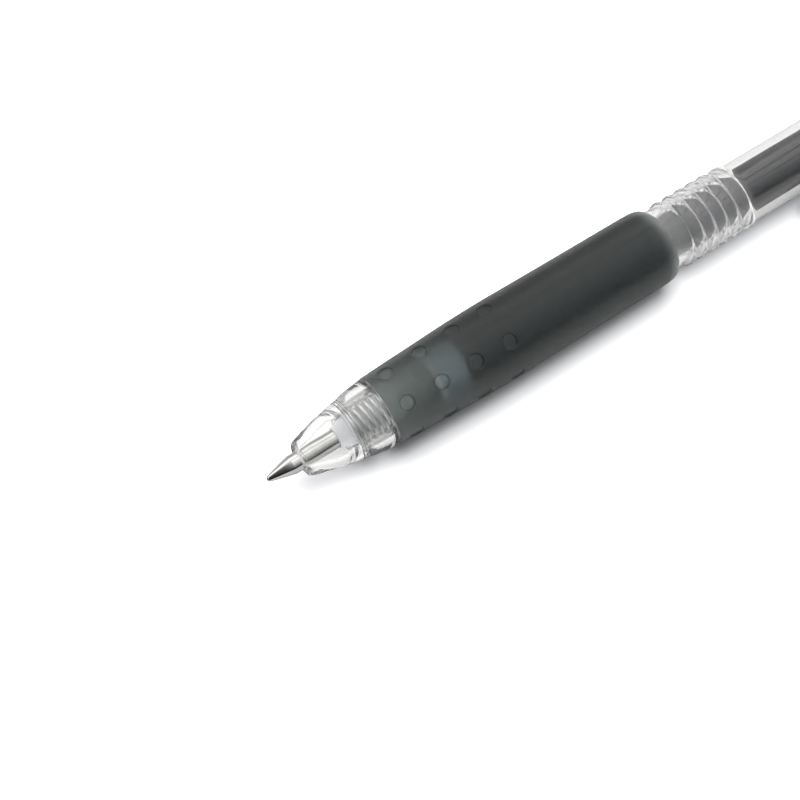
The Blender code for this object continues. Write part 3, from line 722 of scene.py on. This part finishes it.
# ---------------------------------------------------------------- barrel
BARREL_FRONT_AT = SEAM_AT + SEAM_GAP
BARREL_FRONT_BORE_RADIUS = 3.65
BARREL_RADIUS, BARREL_BORE_RADIUS, BARREL_END_AT = 4.55, 3.90, 118.0
GROOVE_MAJOR_RADIUS = THREAD_CREST_RADIUS + THREAD_PLAY
GROOVE_MINOR_RADIUS = THREAD_ROOT_RADIUS + THREAD_PLAY
RINGS, RING_FIRST_AT, RING_PITCH, RING_RADIUS, RING_HALF = 5, 65.95, 2.06, 4.93, 0.31


def ridge(middle, half, top, flat):
    """One raised ring; half is half its foot's width and flat half its top's."""
    rise = half - flat
    points = []
    for sign in (-1, 1):
        for k in range(7):
            x = k / 6 if sign < 0 else 1 - k / 6
            radius = BARREL_RADIUS + (top - BARREL_RADIUS) * smooth(x)
            points.append((middle + sign * (half - rise * x), radius))
    return points


barrel_outside = [
    *arc(BARREL_FRONT_AT + 0.05, 4.07, 0.05, 180, 100, 3),
    # Two fine grooves behind the seam.
    (12.02, 4.135), (12.20, 4.150), (12.225, 4.075), (12.285, 4.075), (12.31, 4.160),
    (12.55, 4.185), (12.575, 4.115), (12.635, 4.115), (12.66, 4.205),
    *curve([
        (12.78, 4.225), (13.10, 4.32), (13.60, 4.46), (14.70, 4.62), (15.70, 4.75), (16.60, 4.855),
    ], 0.15),
    # The recess that the grip sits in.
    *arc(16.76, 4.80, 0.07, 80, 0, 3), (16.84, 4.30), (62.96, 4.30), (62.96, 4.52), (63.0, 4.56),
    (63.3, 4.56), (64.6, BARREL_RADIUS),
]
for k in range(RINGS):
    barrel_outside += ridge(RING_FIRST_AT + RING_PITCH * k, RING_HALF, RING_RADIUS, 0.09)
    barrel_outside.append((RING_FIRST_AT + RING_PITCH * (k + 0.5), BARREL_RADIUS))
# A broader ring, then the neck inside the collar.
barrel_outside += ridge(76.62, 0.50, 4.86, 0.30)
barrel_outside += [
    (111.9, BARREL_RADIUS), (112.0, 4.45), (112.0, 4.20), (117.8, 4.20), (BARREL_END_AT, 4.05),
]
barrel_inside = [
    (BARREL_END_AT, BARREL_BORE_RADIUS),
    *curve([
        (69.5, BARREL_BORE_RADIUS), (67.5, 3.86), (66.0, 3.5), (64.8, 3.32), (64.2, 3.30),
    ], 0.2),
    (24.25, 3.30), (23.95, GROOVE_MAJOR_RADIUS),
]
barrel_front_bore = [
    (BARREL_FRONT_AT, BARREL_FRONT_BORE_RADIUS + 0.06),
    (BARREL_FRONT_AT + 0.06, BARREL_FRONT_BORE_RADIUS),
    (15.6, BARREL_FRONT_BORE_RADIUS), (THREAD_START_AT, BARREL_FRONT_BORE_RADIUS),
]
barrel = threaded_shell(
    barrel_front_bore, barrel_inside[::-1] + barrel_outside[::-1],
    GROOVE_MAJOR_RADIUS, GROOVE_MINOR_RADIUS, female_share,
)
settle("barrel_shell", barrel, "clear_plastic", 40, "body", "barrel")

# ---------------------------------------------------------------- grip
GRIP_SIDES = 300
GRIP_BORE_RADIUS = 4.36
grip_wall = curve([
    (17.10, 4.93), (18.90, 5.02), (21.00, 5.125), (23.20, 5.21), (25.40, 5.30), (27.60, 5.40),
    (29.80, 5.49), (32.00, 5.555), (34.20, 5.60), (36.50, GRIP_MAX_RADIUS), (38.80, 5.61),
    (42.00, 5.585), (46.80, 5.56), (51.50, 5.535), (56.30, 5.525), (59.90, 5.51), (61.40, 5.47),
], 0.13)
grip_front_edge = [
    (GRIP_FRONT_AT, GRIP_BORE_RADIUS), (GRIP_FRONT_AT, 4.74),
    *arc(17.06, 4.76, 0.16, 180, 100, 5),
]
grip_rear_edge = curve([
    (61.40, 5.47), (61.9, 5.43), (62.3, 5.35), (62.6, 5.22), (62.80, 5.03), (62.88, 4.86),
    (GRIP_REAR_AT, 4.72),
], 0.07)[1:] + [(GRIP_REAR_AT, GRIP_BORE_RADIUS)]


def dimple(along, radius, angle):
    """Depth of the round recesses at a point of the grip, mm; below 0 on the bead round each."""
    row = round((along - DIMPLE_FIRST_AT) / DIMPLE_PITCH)
    if row < 0 or row >= DIMPLE_ROWS:
        return 0.0
    off = along - (DIMPLE_FIRST_AT + DIMPLE_PITCH * row)
    if abs(off) > 1.3:
        return 0.0
    spacing = 2 * pi / DIMPLE_COLUMNS
    turn = (angle - DIMPLE_TURN) % spacing
    if turn > spacing / 2:
        turn -= spacing
    distance = hypot(off, turn * radius)
    wall = smooth((DIMPLE_RADIUS + 0.03 - distance) / 0.16)
    dish = 0.10 * (1 - (distance / DIMPLE_RADIUS) ** 2) if distance < DIMPLE_RADIUS else 0.0
    bead = 0.03 * smooth(1 - abs(distance - DIMPLE_RADIUS - 0.17) / 0.17)
    return DIMPLE_DEPTH * (0.90 + dish) * wall - bead


columns = []
for s in range(GRIP_SIDES):
    angle = 2 * pi * s / GRIP_SIDES
    wall = [(along, radius - dimple(along, radius, angle)) for along, radius in grip_wall]
    columns.append((angle, tagged(grip_front_edge + wall + grip_rear_edge)))
settle("grip_skin", skin(columns), "smoke_rubber", 50, "body", "grip_sleeve")


# ---------------------------------------------------------------- refill
def sphere(centre_along, radius, segments, rings):
    shape = bmesh.new()
    bmesh.ops.create_uvsphere(shape, u_segments=segments, v_segments=rings, radius=radius * MM)
    bmesh.ops.translate(shape, verts=shape.verts, vec=((centre_along - LENGTH) * MM, 0, 0))
    return shape


BALL_RADIUS, POINT_RADIUS, SHANK_RADIUS = 0.35, 1.30, 1.25
SOCKET_RADIUS = BALL_RADIUS + 0.025
ball = sphere(BALL_RADIUS, BALL_RADIUS, segments=48, rings=32)
settle("point_ball", ball, "ball_carbide", 60, "ball", "tip_ball")

point = [
    *curve([(0.15, 0.365), (0.20, 0.405), (0.34, 0.45), (0.60, 0.53)], 0.05),
    (1.20, 0.69), (2.40, 1.005), (3.55, 1.275), (3.68, 1.297), (3.80, POINT_RADIUS),
    (5.52, POINT_RADIUS), (5.60, POINT_RADIUS - 0.05), (5.62, SHANK_RADIUS),
    (13.9, SHANK_RADIUS), (14.0, SHANK_RADIUS - 0.08),
    # The ink channel, then the ball's socket.
    (14.0, 0.62), (3.6, 0.62), (2.6, 0.20), (0.78, 0.17),
]
for degrees in range(138, 61, -6):
    angle = radians(degrees)
    point.append((BALL_RADIUS - SOCKET_RADIUS * cos(angle), SOCKET_RADIUS * sin(angle)))
settle("metal_point", lathe(point, 96), "point_steel", 28, "refill", "tip_point")

holder = [
    (10.20, 1.31),
    *curve([
        (10.20, 1.38), (10.24, 1.42), (10.70, 1.55), (11.40, 1.85), (12.05, 2.11),
        (12.45, 2.19), (12.80, 2.20),
    ], 0.1),
    # Flange and the plug inside the tube.
    (24.40, 2.20), (24.44, 2.24), (24.44, 2.86), (24.48, 2.90), (25.16, 2.90), (25.20, 2.86),
    (25.20, 2.44), (29.10, 2.44), (29.20, 2.36),
    # Bore.
    (29.20, 1.35), (23.60, 1.35), (23.60, 1.00), (21.40, 1.00), (20.60, 0.80), (14.08, 0.80),
    (14.08, 1.29), (10.20, 1.29),
]
settle("point_holder", lathe(holder, 96), "milky_plastic", 35, "refill", "tip_holder")

valve = sphere(22.45, 0.90, segments=32, rings=20)
settle("valve_ball", valve, "valve_steel", 60, "refill", "check_ball")

tube = [
    (25.25, 2.55), (25.25, 2.95), (25.30, 3.00), (109.45, 3.00), (109.5, 2.95), (109.5, 2.55),
    (109.45, 2.50), (25.30, 2.50),
]
settle("refill_tube", lathe(tube, 112), "tube_plastic", 40, "refill", "ink_tube")

ink = [
    (23.64, 0.0), (23.64, 1.29), (29.24, 1.29), (29.30, 2.51), (95.0, 2.51),
    *curve([(95.0, 2.49), (94.7, 2.0), (94.45, 1.2), (94.4, 0.0)], 0.3)[1:],
]
settle("ink_fill", lathe(ink, 96), "black_ink", 40, "refill", "ink_column")

grease = [
    (94.45, 0.0), (94.5, 1.2), (94.75, 2.0), (95.04, 2.44), (100.0, 2.44),
    *curve([(100.0, 2.44), (99.6, 2.0), (99.4, 1.2), (99.35, 0.0)], 0.3)[1:],
]
settle(
    "follower_grease_plug", lathe(grease, 96), "follower_grease", 40, "refill", "ink_follower",
)

plug = [
    (104.0, 0.55), (104.0, 2.30), (104.3, 2.44), (109.54, 2.44), (109.54, 2.64), (109.60, 2.70),
    (111.2, 2.70), (111.45, 2.55), (111.45, 0.55), (111.40, 0.5), (104.05, 0.5),
]
settle("refill_plug", lathe(plug, 72), "plug_plastic", 35, "refill", "tail_plug")

# ---------------------------------------------------------------- return spring
SPRING_START_AT, SPRING_END_AT, SPRING_TURNS = 12.31, 24.16, 15
CLOSED_TURNS, CLOSED_PITCH = 1.25, 0.46  # the close turns at each end


def spring_height(turn):
    open_turns = SPRING_TURNS - 2 * CLOSED_TURNS
    length = SPRING_END_AT - SPRING_START_AT
    open_pitch = (length - 2 * CLOSED_TURNS * CLOSED_PITCH) / open_turns
    return (
        SPRING_START_AT
        + CLOSED_PITCH * min(turn, CLOSED_TURNS)
        + open_pitch * min(max(turn - CLOSED_TURNS, 0.0), open_turns)
        + CLOSED_PITCH * max(turn - SPRING_TURNS + CLOSED_TURNS, 0.0)
    )


spring = settle("return_coil", coil(
    radius=2.62, wire=0.22, turns=SPRING_TURNS, steps=48, sides=14,
    height=spring_height, place=pen_point,
), "spring_steel", 60)
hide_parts("return_spring")
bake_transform(spring)

# ---------------------------------------------------------------- click mechanism
QUARTER = pi / 2
GUIDE_BORE_RADIUS, GUIDE_RIB_RADIUS = 3.30, 2.78
CAM_RIB_RADIUS = 3.20  # the ribs of both rotor and plunger


def rib_columns(rib_half, section, plain_radius, rib_radius, steps=10):
    """Columns of a part with four ribs: section(radius, x, angle), where x is -1 to 1 on a rib."""
    columns = []
    gap = QUARTER / 2 - rib_half
    for quarter in range(4):
        middle = quarter * QUARTER
        for k in range(steps + 1):
            angle = middle - QUARTER / 2 + gap * k / steps
            columns.append((angle, tagged(section(plain_radius, -k / steps, angle))))
        for k in range(steps + 1):
            x = -1 + 2 * k / steps
            angle = middle + rib_half * x
            columns.append((angle, tagged(section(rib_radius, x, angle))))
        for k in range(steps):
            angle = middle + rib_half + gap * k / steps
            columns.append((angle, tagged(section(plain_radius, 1 - k / steps, angle))))
    return columns


def crown(angle):
    """Height of the eight teeth where rotor and plunger meet."""
    x = (angle / (pi / 4)) % 1.0
    return 0.7 * (1 - abs(2 * x - 1))


def guide_section(radius, x, angle):
    saw = 0.45 * (1 + x)
    return [
        (109.0, 3.70), (109.2, 3.85), (118.04, 3.85), (118.04, 4.14), (118.2, 4.20),
        (132.86, 4.20), (132.92, 4.14), (132.92, 3.75), (124.30, 3.75), (124.26, radius),
        (116.5 + saw, radius), (116.45 + saw, GUIDE_BORE_RADIUS), (109.0, GUIDE_BORE_RADIUS),
    ]


def rotor_section(radius, x, angle):
    saw = 0.3 * (1 + x)
    return [
        (111.52, 0.0), (111.52, 2.25), (111.7, 2.50), (112.2, 2.50), (112.25, radius),
        (115.3 + saw, radius), (115.35 + saw, 2.50), (116.42 + crown(angle) - 0.35, 2.50),
        (116.42 + crown(angle) * 0.6 - 0.2, 1.25), (120.6, 1.20), (120.8, 1.0), (120.8, 0.0),
    ]


def plunger_section(radius, x, angle):
    return [
        (116.60 + crown(angle) - 0.35, 2.52), (117.6, 2.52), (117.65, radius), (121.0, radius),
        (121.05, 2.52), (124.3, 2.52), (124.9, 2.20), (137.2, 2.20), (137.4, 2.0), (137.4, 0.0),
        (122.2, 0.0), (122.0, 1.30), (116.60 + crown(angle) * 0.6 - 0.2, 1.30),
    ]


# The guide's ribs stand between those of the rotor and plunger.
guide = rib_columns(radians(24), guide_section, GUIDE_BORE_RADIUS, GUIDE_RIB_RADIUS)
guide = [(angle + radians(45), section) for angle, section in guide]
settle("guide_tube", skin(guide), "guide_plastic", 35, "body", "guide_sleeve")

rotor = rib_columns(radians(14), rotor_section, 2.50, CAM_RIB_RADIUS)
settle("rotor", skin(rotor), "rotor_plastic", 35, "rotor", "rotor_cam")

plunger = rib_columns(radians(14), plunger_section, 2.52, CAM_RIB_RADIUS)
settle("plunger", skin(plunger), "plunger_plastic", 35, "button", "thrust_plunger")

button = [
    (125.45, 2.26), (125.45, 3.64), (125.50, 3.70), (126.42, 3.70), (126.48, 3.64),
    (126.50, 3.30), (140.2, 3.29),
    *curve([
        (140.5, 3.285), (141.1, 3.20), (141.55, 2.98), (141.85, 2.62), (141.97, 2.25),
        (LENGTH, 1.95),
    ], 0.08),
    (LENGTH, 0.0), (137.5, 0.0), (137.5, 2.26),
]
settle("button_cap", lathe(button, 112), "button_plastic", 30, "button", "push_button")

# ---------------------------------------------------------------- clip frame
# "Out" is the distance from the pen's axis towards the clip, "across" is sideways from it.
PIN_AT, PIN_OUT, PIN_RADIUS = 121.5, 7.45, 0.60
CLIP_HALF_WIDTH = 1.90
EAR_INNER, EAR_OUTER, EAR_RADIUS = 2.00, 2.95, 1.55
CLIP_SPRING_AT = 128.4


def resting_turn():
    """How far the clip turns up from straight down to rest level with the grip's underside."""
    # (out, across) of the lowest places on an ear and on the clip's arm.
    low_points = ((PIN_OUT + EAR_RADIUS * 0.93, EAR_OUTER), (9.35, CLIP_HALF_WIDTH))
    low, high = radians(40), radians(110)
    for _ in range(60):
        middle = (low + high) / 2
        reach = max(out * cos(middle) + across * sin(middle) for out, across in low_points)
        if reach > GRIP_MAX_RADIUS:
            low = middle
        else:
            high = middle
    return low


CLIP_ANGLE = radians(270) - resting_turn()
OUT = Vector((0, cos(CLIP_ANGLE), sin(CLIP_ANGLE)))
SIDE = Vector((0, -sin(CLIP_ANGLE), cos(CLIP_ANGLE)))


def clip_point(along, out, across):
    return (Vector((along - LENGTH, 0, 0)) + OUT * out + SIDE * across) * MM


def plate(outline, across_from, across_to):
    """A flat plate with an outline of (along, out) points."""
    return prism(
        [clip_point(along, out, across_from) for along, out in outline],
        [clip_point(along, out, across_to) for along, out in outline],
    )


def pin_bar(radius, half, sides=48):
    """A round bar on the hinge's axis."""
    return plate(circle(PIN_AT, PIN_OUT, radius, sides), -half, half)


# ---------------------------------------------------------------- collar
collar_section = [
    (112.06, 4.26), (112.06, 4.50), (112.12, 4.56),
    *curve([
        (112.15, 4.60), (112.6, 4.76), (113.6, 5.05), (115.2, 5.41), (116.6, 5.57), (117.8, 5.60),
    ], 0.2),
    *curve([
        (132.4, 5.60), (133.4, 5.55), (134.3, 5.36), (134.95, 5.05), (135.32, 4.72),
        (135.48, 4.38), (135.5, 4.1),
    ], 0.1),
    (135.5, 3.52), (135.43, 3.45), (133.0, 3.45), (133.0, 4.26),
]
collar = settle("collar_shell", lathe(collar_section, 128), "collar_plastic", 35)
ear_outline = [(124.9, 4.35)]
for degrees in range(-10, 191, 8):
    angle = radians(degrees)
    ear_outline.append((PIN_AT + EAR_RADIUS * cos(angle), PIN_OUT + EAR_RADIUS * sin(angle)))
ear_outline.append((118.1, 4.35))
for sign in (-1, 1):
    combine(collar, plate(ear_outline, sign * EAR_INNER, sign * EAR_OUTER), "UNION")
combine(collar, pin_bar(PIN_RADIUS + 0.03, 4.0), "DIFFERENCE")
# The round seat of the clip's spring.
seat_circle = circle(CLIP_SPRING_AT, 0.0, 1.25, 40)
seat = prism(*(
    [clip_point(along, out, across) for along, across in seat_circle] for out in (5.28, 6.4)
))
combine(collar, seat, "DIFFERENCE")
soften(collar, width=0.09, segments=2)
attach(collar, "body")
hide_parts("rear_collar")

# ---------------------------------------------------------------- clip
# (along, out of its inner face, out of its outer face, half width)
CLIP_STATIONS = [
    (87.0, 6.30, 6.55, 0.45), (87.3, 5.55, 7.15, 1.00), (88.0, 5.05, 7.50, 1.40),
    (89.2, 4.72, 7.72, 1.70), (90.2, 4.72, 7.84, 1.80), (91.4, 5.10, 7.96, 1.86),
    (92.6, 5.95, 8.06, 1.90), (94.0, 6.62, 8.16, 1.90), (97.0, 6.92, 8.36, 1.90),
    (104.0, 7.16, 8.74, 1.90), (112.0, 7.36, 9.06, 1.90), (118.0, 7.30, 9.26, 1.90),
    (121.5, 7.20, 9.34, 1.90), (125.0, 7.30, 9.30, 1.90), (129.0, 7.42, 9.10, 1.90),
    (131.0, 7.50, 8.86, 1.80), (131.8, 7.62, 8.60, 1.45), (132.1, 7.85, 8.35, 0.90),
]


def fine_stations():
    """Smooth stations about every 0.5 mm, with slopes limited to hold back overshoot."""
    fine = []
    last = len(CLIP_STATIONS) - 1
    for k in range(last):
        here, there = CLIP_STATIONS[k], CLIP_STATIONS[k + 1]
        before, after = CLIP_STATIONS[max(0, k - 1)], CLIP_STATIONS[min(last, k + 2)]
        span = there[0] - here[0]
        cuts = max(2, int(span / 0.5))
        for cut in range(cuts):
            x = cut / cuts
            row = [here[0] + span * x]
            for m in (1, 2, 3):
                start_slope = (there[m] - before[m]) / (there[0] - before[0]) * span
                end_slope = (after[m] - here[m]) / (after[0] - here[0]) * span
                limit = 1.2 * abs(there[m] - here[m]) + 0.02
                start_slope = max(-limit, min(limit, start_slope))
                end_slope = max(-limit, min(limit, end_slope))
                row.append(hermite(here[m], there[m], start_slope, end_slope, x))
            fine.append(tuple(row))
    return fine + [CLIP_STATIONS[-1]]


def clip_ring(along, inner, outer, half):
    """One rectangular section of the arm with rounded corners."""
    half = min(half, CLIP_HALF_WIDTH)
    corner = min(0.34, (outer - inner) * 0.35, half * 0.45)
    ring = []
    for start, out, across in (
        (0, outer - corner, half - corner),
        (90, inner + corner, half - corner),
        (180, inner + corner, -half + corner),
        (270, outer - corner, -half + corner),
    ):
        for k in range(5):
            angle = radians(start + 22.5 * k)
            ring.append(clip_point(
                along, out + corner * cos(angle), across + corner * sin(angle),
            ))
    return ring


arm = loft([clip_ring(*station) for station in fine_stations()])
clip = settle("clip_arm", arm, "clip_plastic", 40)
combine(clip, pin_bar(1.35, 1.885), "UNION")
combine(clip, pin_bar(PIN_RADIUS + 0.06, 4.0), "DIFFERENCE")
shade(clip.data, 40)
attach(clip, "clip")
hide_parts("clip_lever")

pin = settle("hinge_pin", pin_bar(PIN_RADIUS, 2.90, 64), "pin_steel", 35)
soften(pin, width=0.08, segments=3)
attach(pin, "body")
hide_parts("clip_pin")

CLIP_SPRING_START, CLIP_SPRING_END, CLIP_SPRING_TURNS = 5.46, 7.20, 3.5


def clip_spring_height(turn):
    x = turn / CLIP_SPRING_TURNS
    length = CLIP_SPRING_END - CLIP_SPRING_START
    return CLIP_SPRING_START + length * (smooth(x) * 0.25 + x * 0.75)


def clip_spring_point(height, radius, angle):
    return clip_point(CLIP_SPRING_AT + radius * cos(angle), height, radius * sin(angle))


clip_coil = settle("clip_coil", coil(
    radius=0.85, wire=0.15, turns=CLIP_SPRING_TURNS, steps=36, sides=12,
    height=clip_spring_height, place=clip_spring_point,
), "clip_spring_steel", 60, "body", "clip_spring")
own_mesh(clip_coil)

# ---------------------------------------------------------------- floor
FLOOR_HALF_SIZE = 3  # metres
FLOOR_GAIN = 0.8  # extra white where the camera sees the floor directly
MIRRORED = 0.42  # the floor's grey in reflections
THROUGH, THROUGH_GLOW = 0.46, 0.60  # its grey and glow through clear pieces


def diffuse(tree, colour):
    return add(tree, "BsdfDiffuse", {"Color": rgba(colour)}).outputs["BSDF"]


def floor_material(name):
    tree, shader, output = new_material(name)
    texture = noise(tree, scale=40.0, detail=2.0)
    feed(tree, shader, {
        "Base Color": tint(tree, texture, (0.90, 0.90, 0.905), (0.905, 0.905, 0.91)),
        "Roughness": 0.9,
        "Specular IOR Level": 0.0,
    })
    paper = shader.outputs["BSDF"]
    lift = diffuse(tree, (FLOOR_GAIN * 0.9, FLOOR_GAIN * 0.9, FLOOR_GAIN * 0.905))
    seen_directly = add_shaders(tree, paper, lift)
    path = add(tree, "LightPath").outputs
    dim = diffuse(tree, (MIRRORED, MIRRORED, MIRRORED))
    part_lit = diffuse(tree, (THROUGH, THROUGH * 0.995, THROUGH * 0.985))
    glow = add(tree, "Emission", {"Color": (1.0, 0.99, 0.98, 1), "Strength": THROUGH_GLOW})
    bright = add_shaders(tree, part_lit, glow.outputs["Emission"])
    mirrored = calc(tree, "MINIMUM", path["Glossy Depth"], 1.0)
    deep = calc(tree, "GREATER_THAN", path["Transmission Depth"], 2.5)
    deep_mirror = calc(tree, "MULTIPLY", mirrored, deep)
    not_deep = calc(tree, "LESS_THAN", deep_mirror, 0.5)
    seen_through = calc(tree, "MULTIPLY", path["Is Transmission Ray"], not_deep)
    surface = mix_shaders(tree, mirrored, paper, dim)
    surface = mix_shaders(tree, seen_through, surface, bright)
    surface = mix_shaders(tree, path["Is Camera Ray"], surface, seen_directly)
    feed(tree, output, {"Surface": surface})


floor_material("floor_white")
mesh = bpy.data.meshes.new("floor")
z = -GRIP_MAX_RADIUS * MM - 0.00002
corners = [
    (x * FLOOR_HALF_SIZE, y * FLOOR_HALF_SIZE, z) for x, y in ((-1, -1), (1, -1), (1, 1), (-1, 1))
]
mesh.from_pydata(corners, [], [(0, 1, 2, 3)])
floor = bpy.data.objects.new("floor", mesh)
mesh.materials.append(materials["floor_white"])
bpy.context.scene.collection.objects.link(floor)

# ---------------------------------------------------------------- world
# Levels of the room as light, as seen in clear plastic and as mirrored.
ROOM_LIGHT, SEEN_IN_PLASTIC, SEEN_IN_GLOSS = 0.54, 0.96, 0.95
BACKDROP = 1.3  # the level that the camera sees directly
PATCH_DARKNESS = 0.94
EVENNESS, EVENNESS_LOST_IN_GLOSS = 0.92, 0.20
# (degrees, brightness) over the room: 0 is level at +Y, 90 overhead, 180 level at -Y.
# Broad light overhead, dimmer walls and a dark strip near the table on the viewer's side (-Y).
ROOM_BANDS = [
    (0, 0.28), (22, 0.50), (42, 1.32), (60, 1.36), (68, 0.62), (76, 1.26), (97, 1.18),
    (104, 0.66), (110, 0.92), (124, 0.62), (138, 0.40), (152, 0.24), (163, 0.05),
    (174, 0.05), (180, 0.12),
]


def band_colour(degrees, value):
    """From 105 degrees on, the room is slightly blue."""
    if degrees < 105:
        return (value, value, value)
    return (value, value * 1.01, value * 1.06)


def window(tree, value, low, high, target):
    return map_range(tree, value, target, source=(low, high), interpolation="SMOOTHSTEP")


def dark_patch(tree, along, around):
    """1 in a patch towards -X, from overhead down on the viewer's side."""
    turned = window(tree, around, 64, 82, target=(0.0, 1.0))
    patch = calc(tree, "MULTIPLY", turned, window(tree, along, -0.30, -0.10, target=(1.0, 0.0)))
    return calc(tree, "MULTIPLY", patch, window(tree, along, -0.92, -0.80, target=(0.0, 1.0)))


def build_world():
    world = bpy.data.worlds.new("studio")
    bpy.context.scene.world = world
    world.use_nodes = True
    tree = world.node_tree
    coord = add(tree, "TexCoord")
    split = add(tree, "SeparateXYZ", {"Vector": coord.outputs["Generated"]}).outputs
    around = calc(tree, "MULTIPLY", calc(tree, "ARCTAN2", split["Z"], split["Y"]), 180 / pi)
    bands = colour_ramp(
        tree, calc(tree, "DIVIDE", around, 180.0),
        [(degrees / 180, band_colour(degrees, value)) for degrees, value in ROOM_BANDS],
        interpolation="EASE",
    )
    patch = dark_patch(tree, split["X"], around)

    # A ray that has only passed through or bounced inside clear plastic sees an even room.
    path = add(tree, "LightPath").outputs
    glossy = calc(tree, "MINIMUM", path["Glossy Depth"], 1.0)
    deep = calc(tree, "GREATER_THAN", path["Transmission Depth"], 2.5)
    passed = calc(tree, "MINIMUM", path["Transmission Depth"], 1.0)
    not_deep_gloss = calc(tree, "SUBTRACT", 1.0, calc(tree, "MULTIPLY", glossy, deep))
    through = calc(tree, "MULTIPLY", passed, not_deep_gloss)
    in_plastic = calc(tree, "MULTIPLY", through, SEEN_IN_PLASTIC)
    in_gloss = calc(tree, "MULTIPLY", glossy, SEEN_IN_GLOSS)
    level = calc(tree, "MAXIMUM", calc(tree, "MAXIMUM", in_plastic, in_gloss), ROOM_LIGHT)
    outside_patch = calc(tree, "SUBTRACT", 1.0, calc(tree, "MULTIPLY", patch, PATCH_DARKNESS))
    gloss_loss = calc(tree, "MULTIPLY", glossy, EVENNESS_LOST_IN_GLOSS)
    evenness = calc(tree, "MULTIPLY", through, calc(tree, "SUBTRACT", EVENNESS, gloss_loss))
    room = tree.nodes["Background"]
    feed(tree, room, {
        "Color": mix_colours(tree, evenness, bands, (1.0, 0.995, 0.985, 1)),
        "Strength": calc(tree, "MULTIPLY", outside_patch, level),
    })
    backdrop = add(tree, "Background", {"Color": (1, 1, 1, 1), "Strength": BACKDROP})
    camera_ray = add(tree, "LightPath").outputs["Is Camera Ray"]
    sky = mix_shaders(
        tree, camera_ray, room.outputs["Background"], backdrop.outputs["Background"],
    )
    feed(tree, tree.nodes["World Output"], {"Surface": sky})


build_world()

# ---------------------------------------------------------------- key light
KEY_PLACE, KEY_TARGET = Vector((-0.085, 0.09, 0.50)), Vector((-0.11, 0, 0))  # metres
light = bpy.data.lights.new("key", "AREA")
light.shape = "DISK"
light.size = 0.58
light.energy = 2.7
key = bpy.data.objects.new("key", light)
bpy.context.scene.collection.objects.link(key)
key.location = KEY_PLACE
key.rotation_euler = (KEY_TARGET - KEY_PLACE).to_track_quat("-Z", "Y").to_euler()
# It lights the floor only.
only_floor = bpy.data.collections.new("lit_by_key")
only_floor.objects.link(floor)
key.light_linking.receiver_collection = only_floor

# ---------------------------------------------------------------- camera and render
lens = bpy.data.cameras.new("camera")
lens.sensor_fit = "HORIZONTAL"
lens.sensor_width = 36.0
lens.lens = 60.975
lens.clip_start = 0.005
lens.clip_end = 20.0
camera = bpy.data.objects.new("camera", lens)
bpy.context.scene.collection.objects.link(camera)
right = Vector((0.8217, -0.5699, 0.0)).normalized()
back = Vector((-0.2756, -0.3973, 0.8753))
back = (back - right * back.dot(right)).normalized()
up = back.cross(right)
place = Vector((-LENGTH - 27.98, -69.46, 152.8)) * MM
camera.matrix_world = Matrix((
    (right.x, up.x, back.x, place.x),
    (right.y, up.y, back.y, place.y),
    (right.z, up.z, back.z, place.z),
    (0, 0, 0, 1),
))
scene = bpy.context.scene
scene.camera = camera
scene.view_settings.view_transform = "Standard"
scene.view_settings.look = "None"
scene.view_settings.exposure = 0.0
scene.cycles.use_denoising = True
scene.cycles.max_bounces = 24
scene.cycles.transmission_bounces = 20
scene.cycles.glossy_bounces = 6
scene.cycles.diffuse_bounces = 4
scene.cycles.transparent_max_bounces = 24
scene.cycles.caustics_reflective = False
scene.cycles.caustics_refractive = False
scene.cycles.sample_clamp_indirect = 8.0
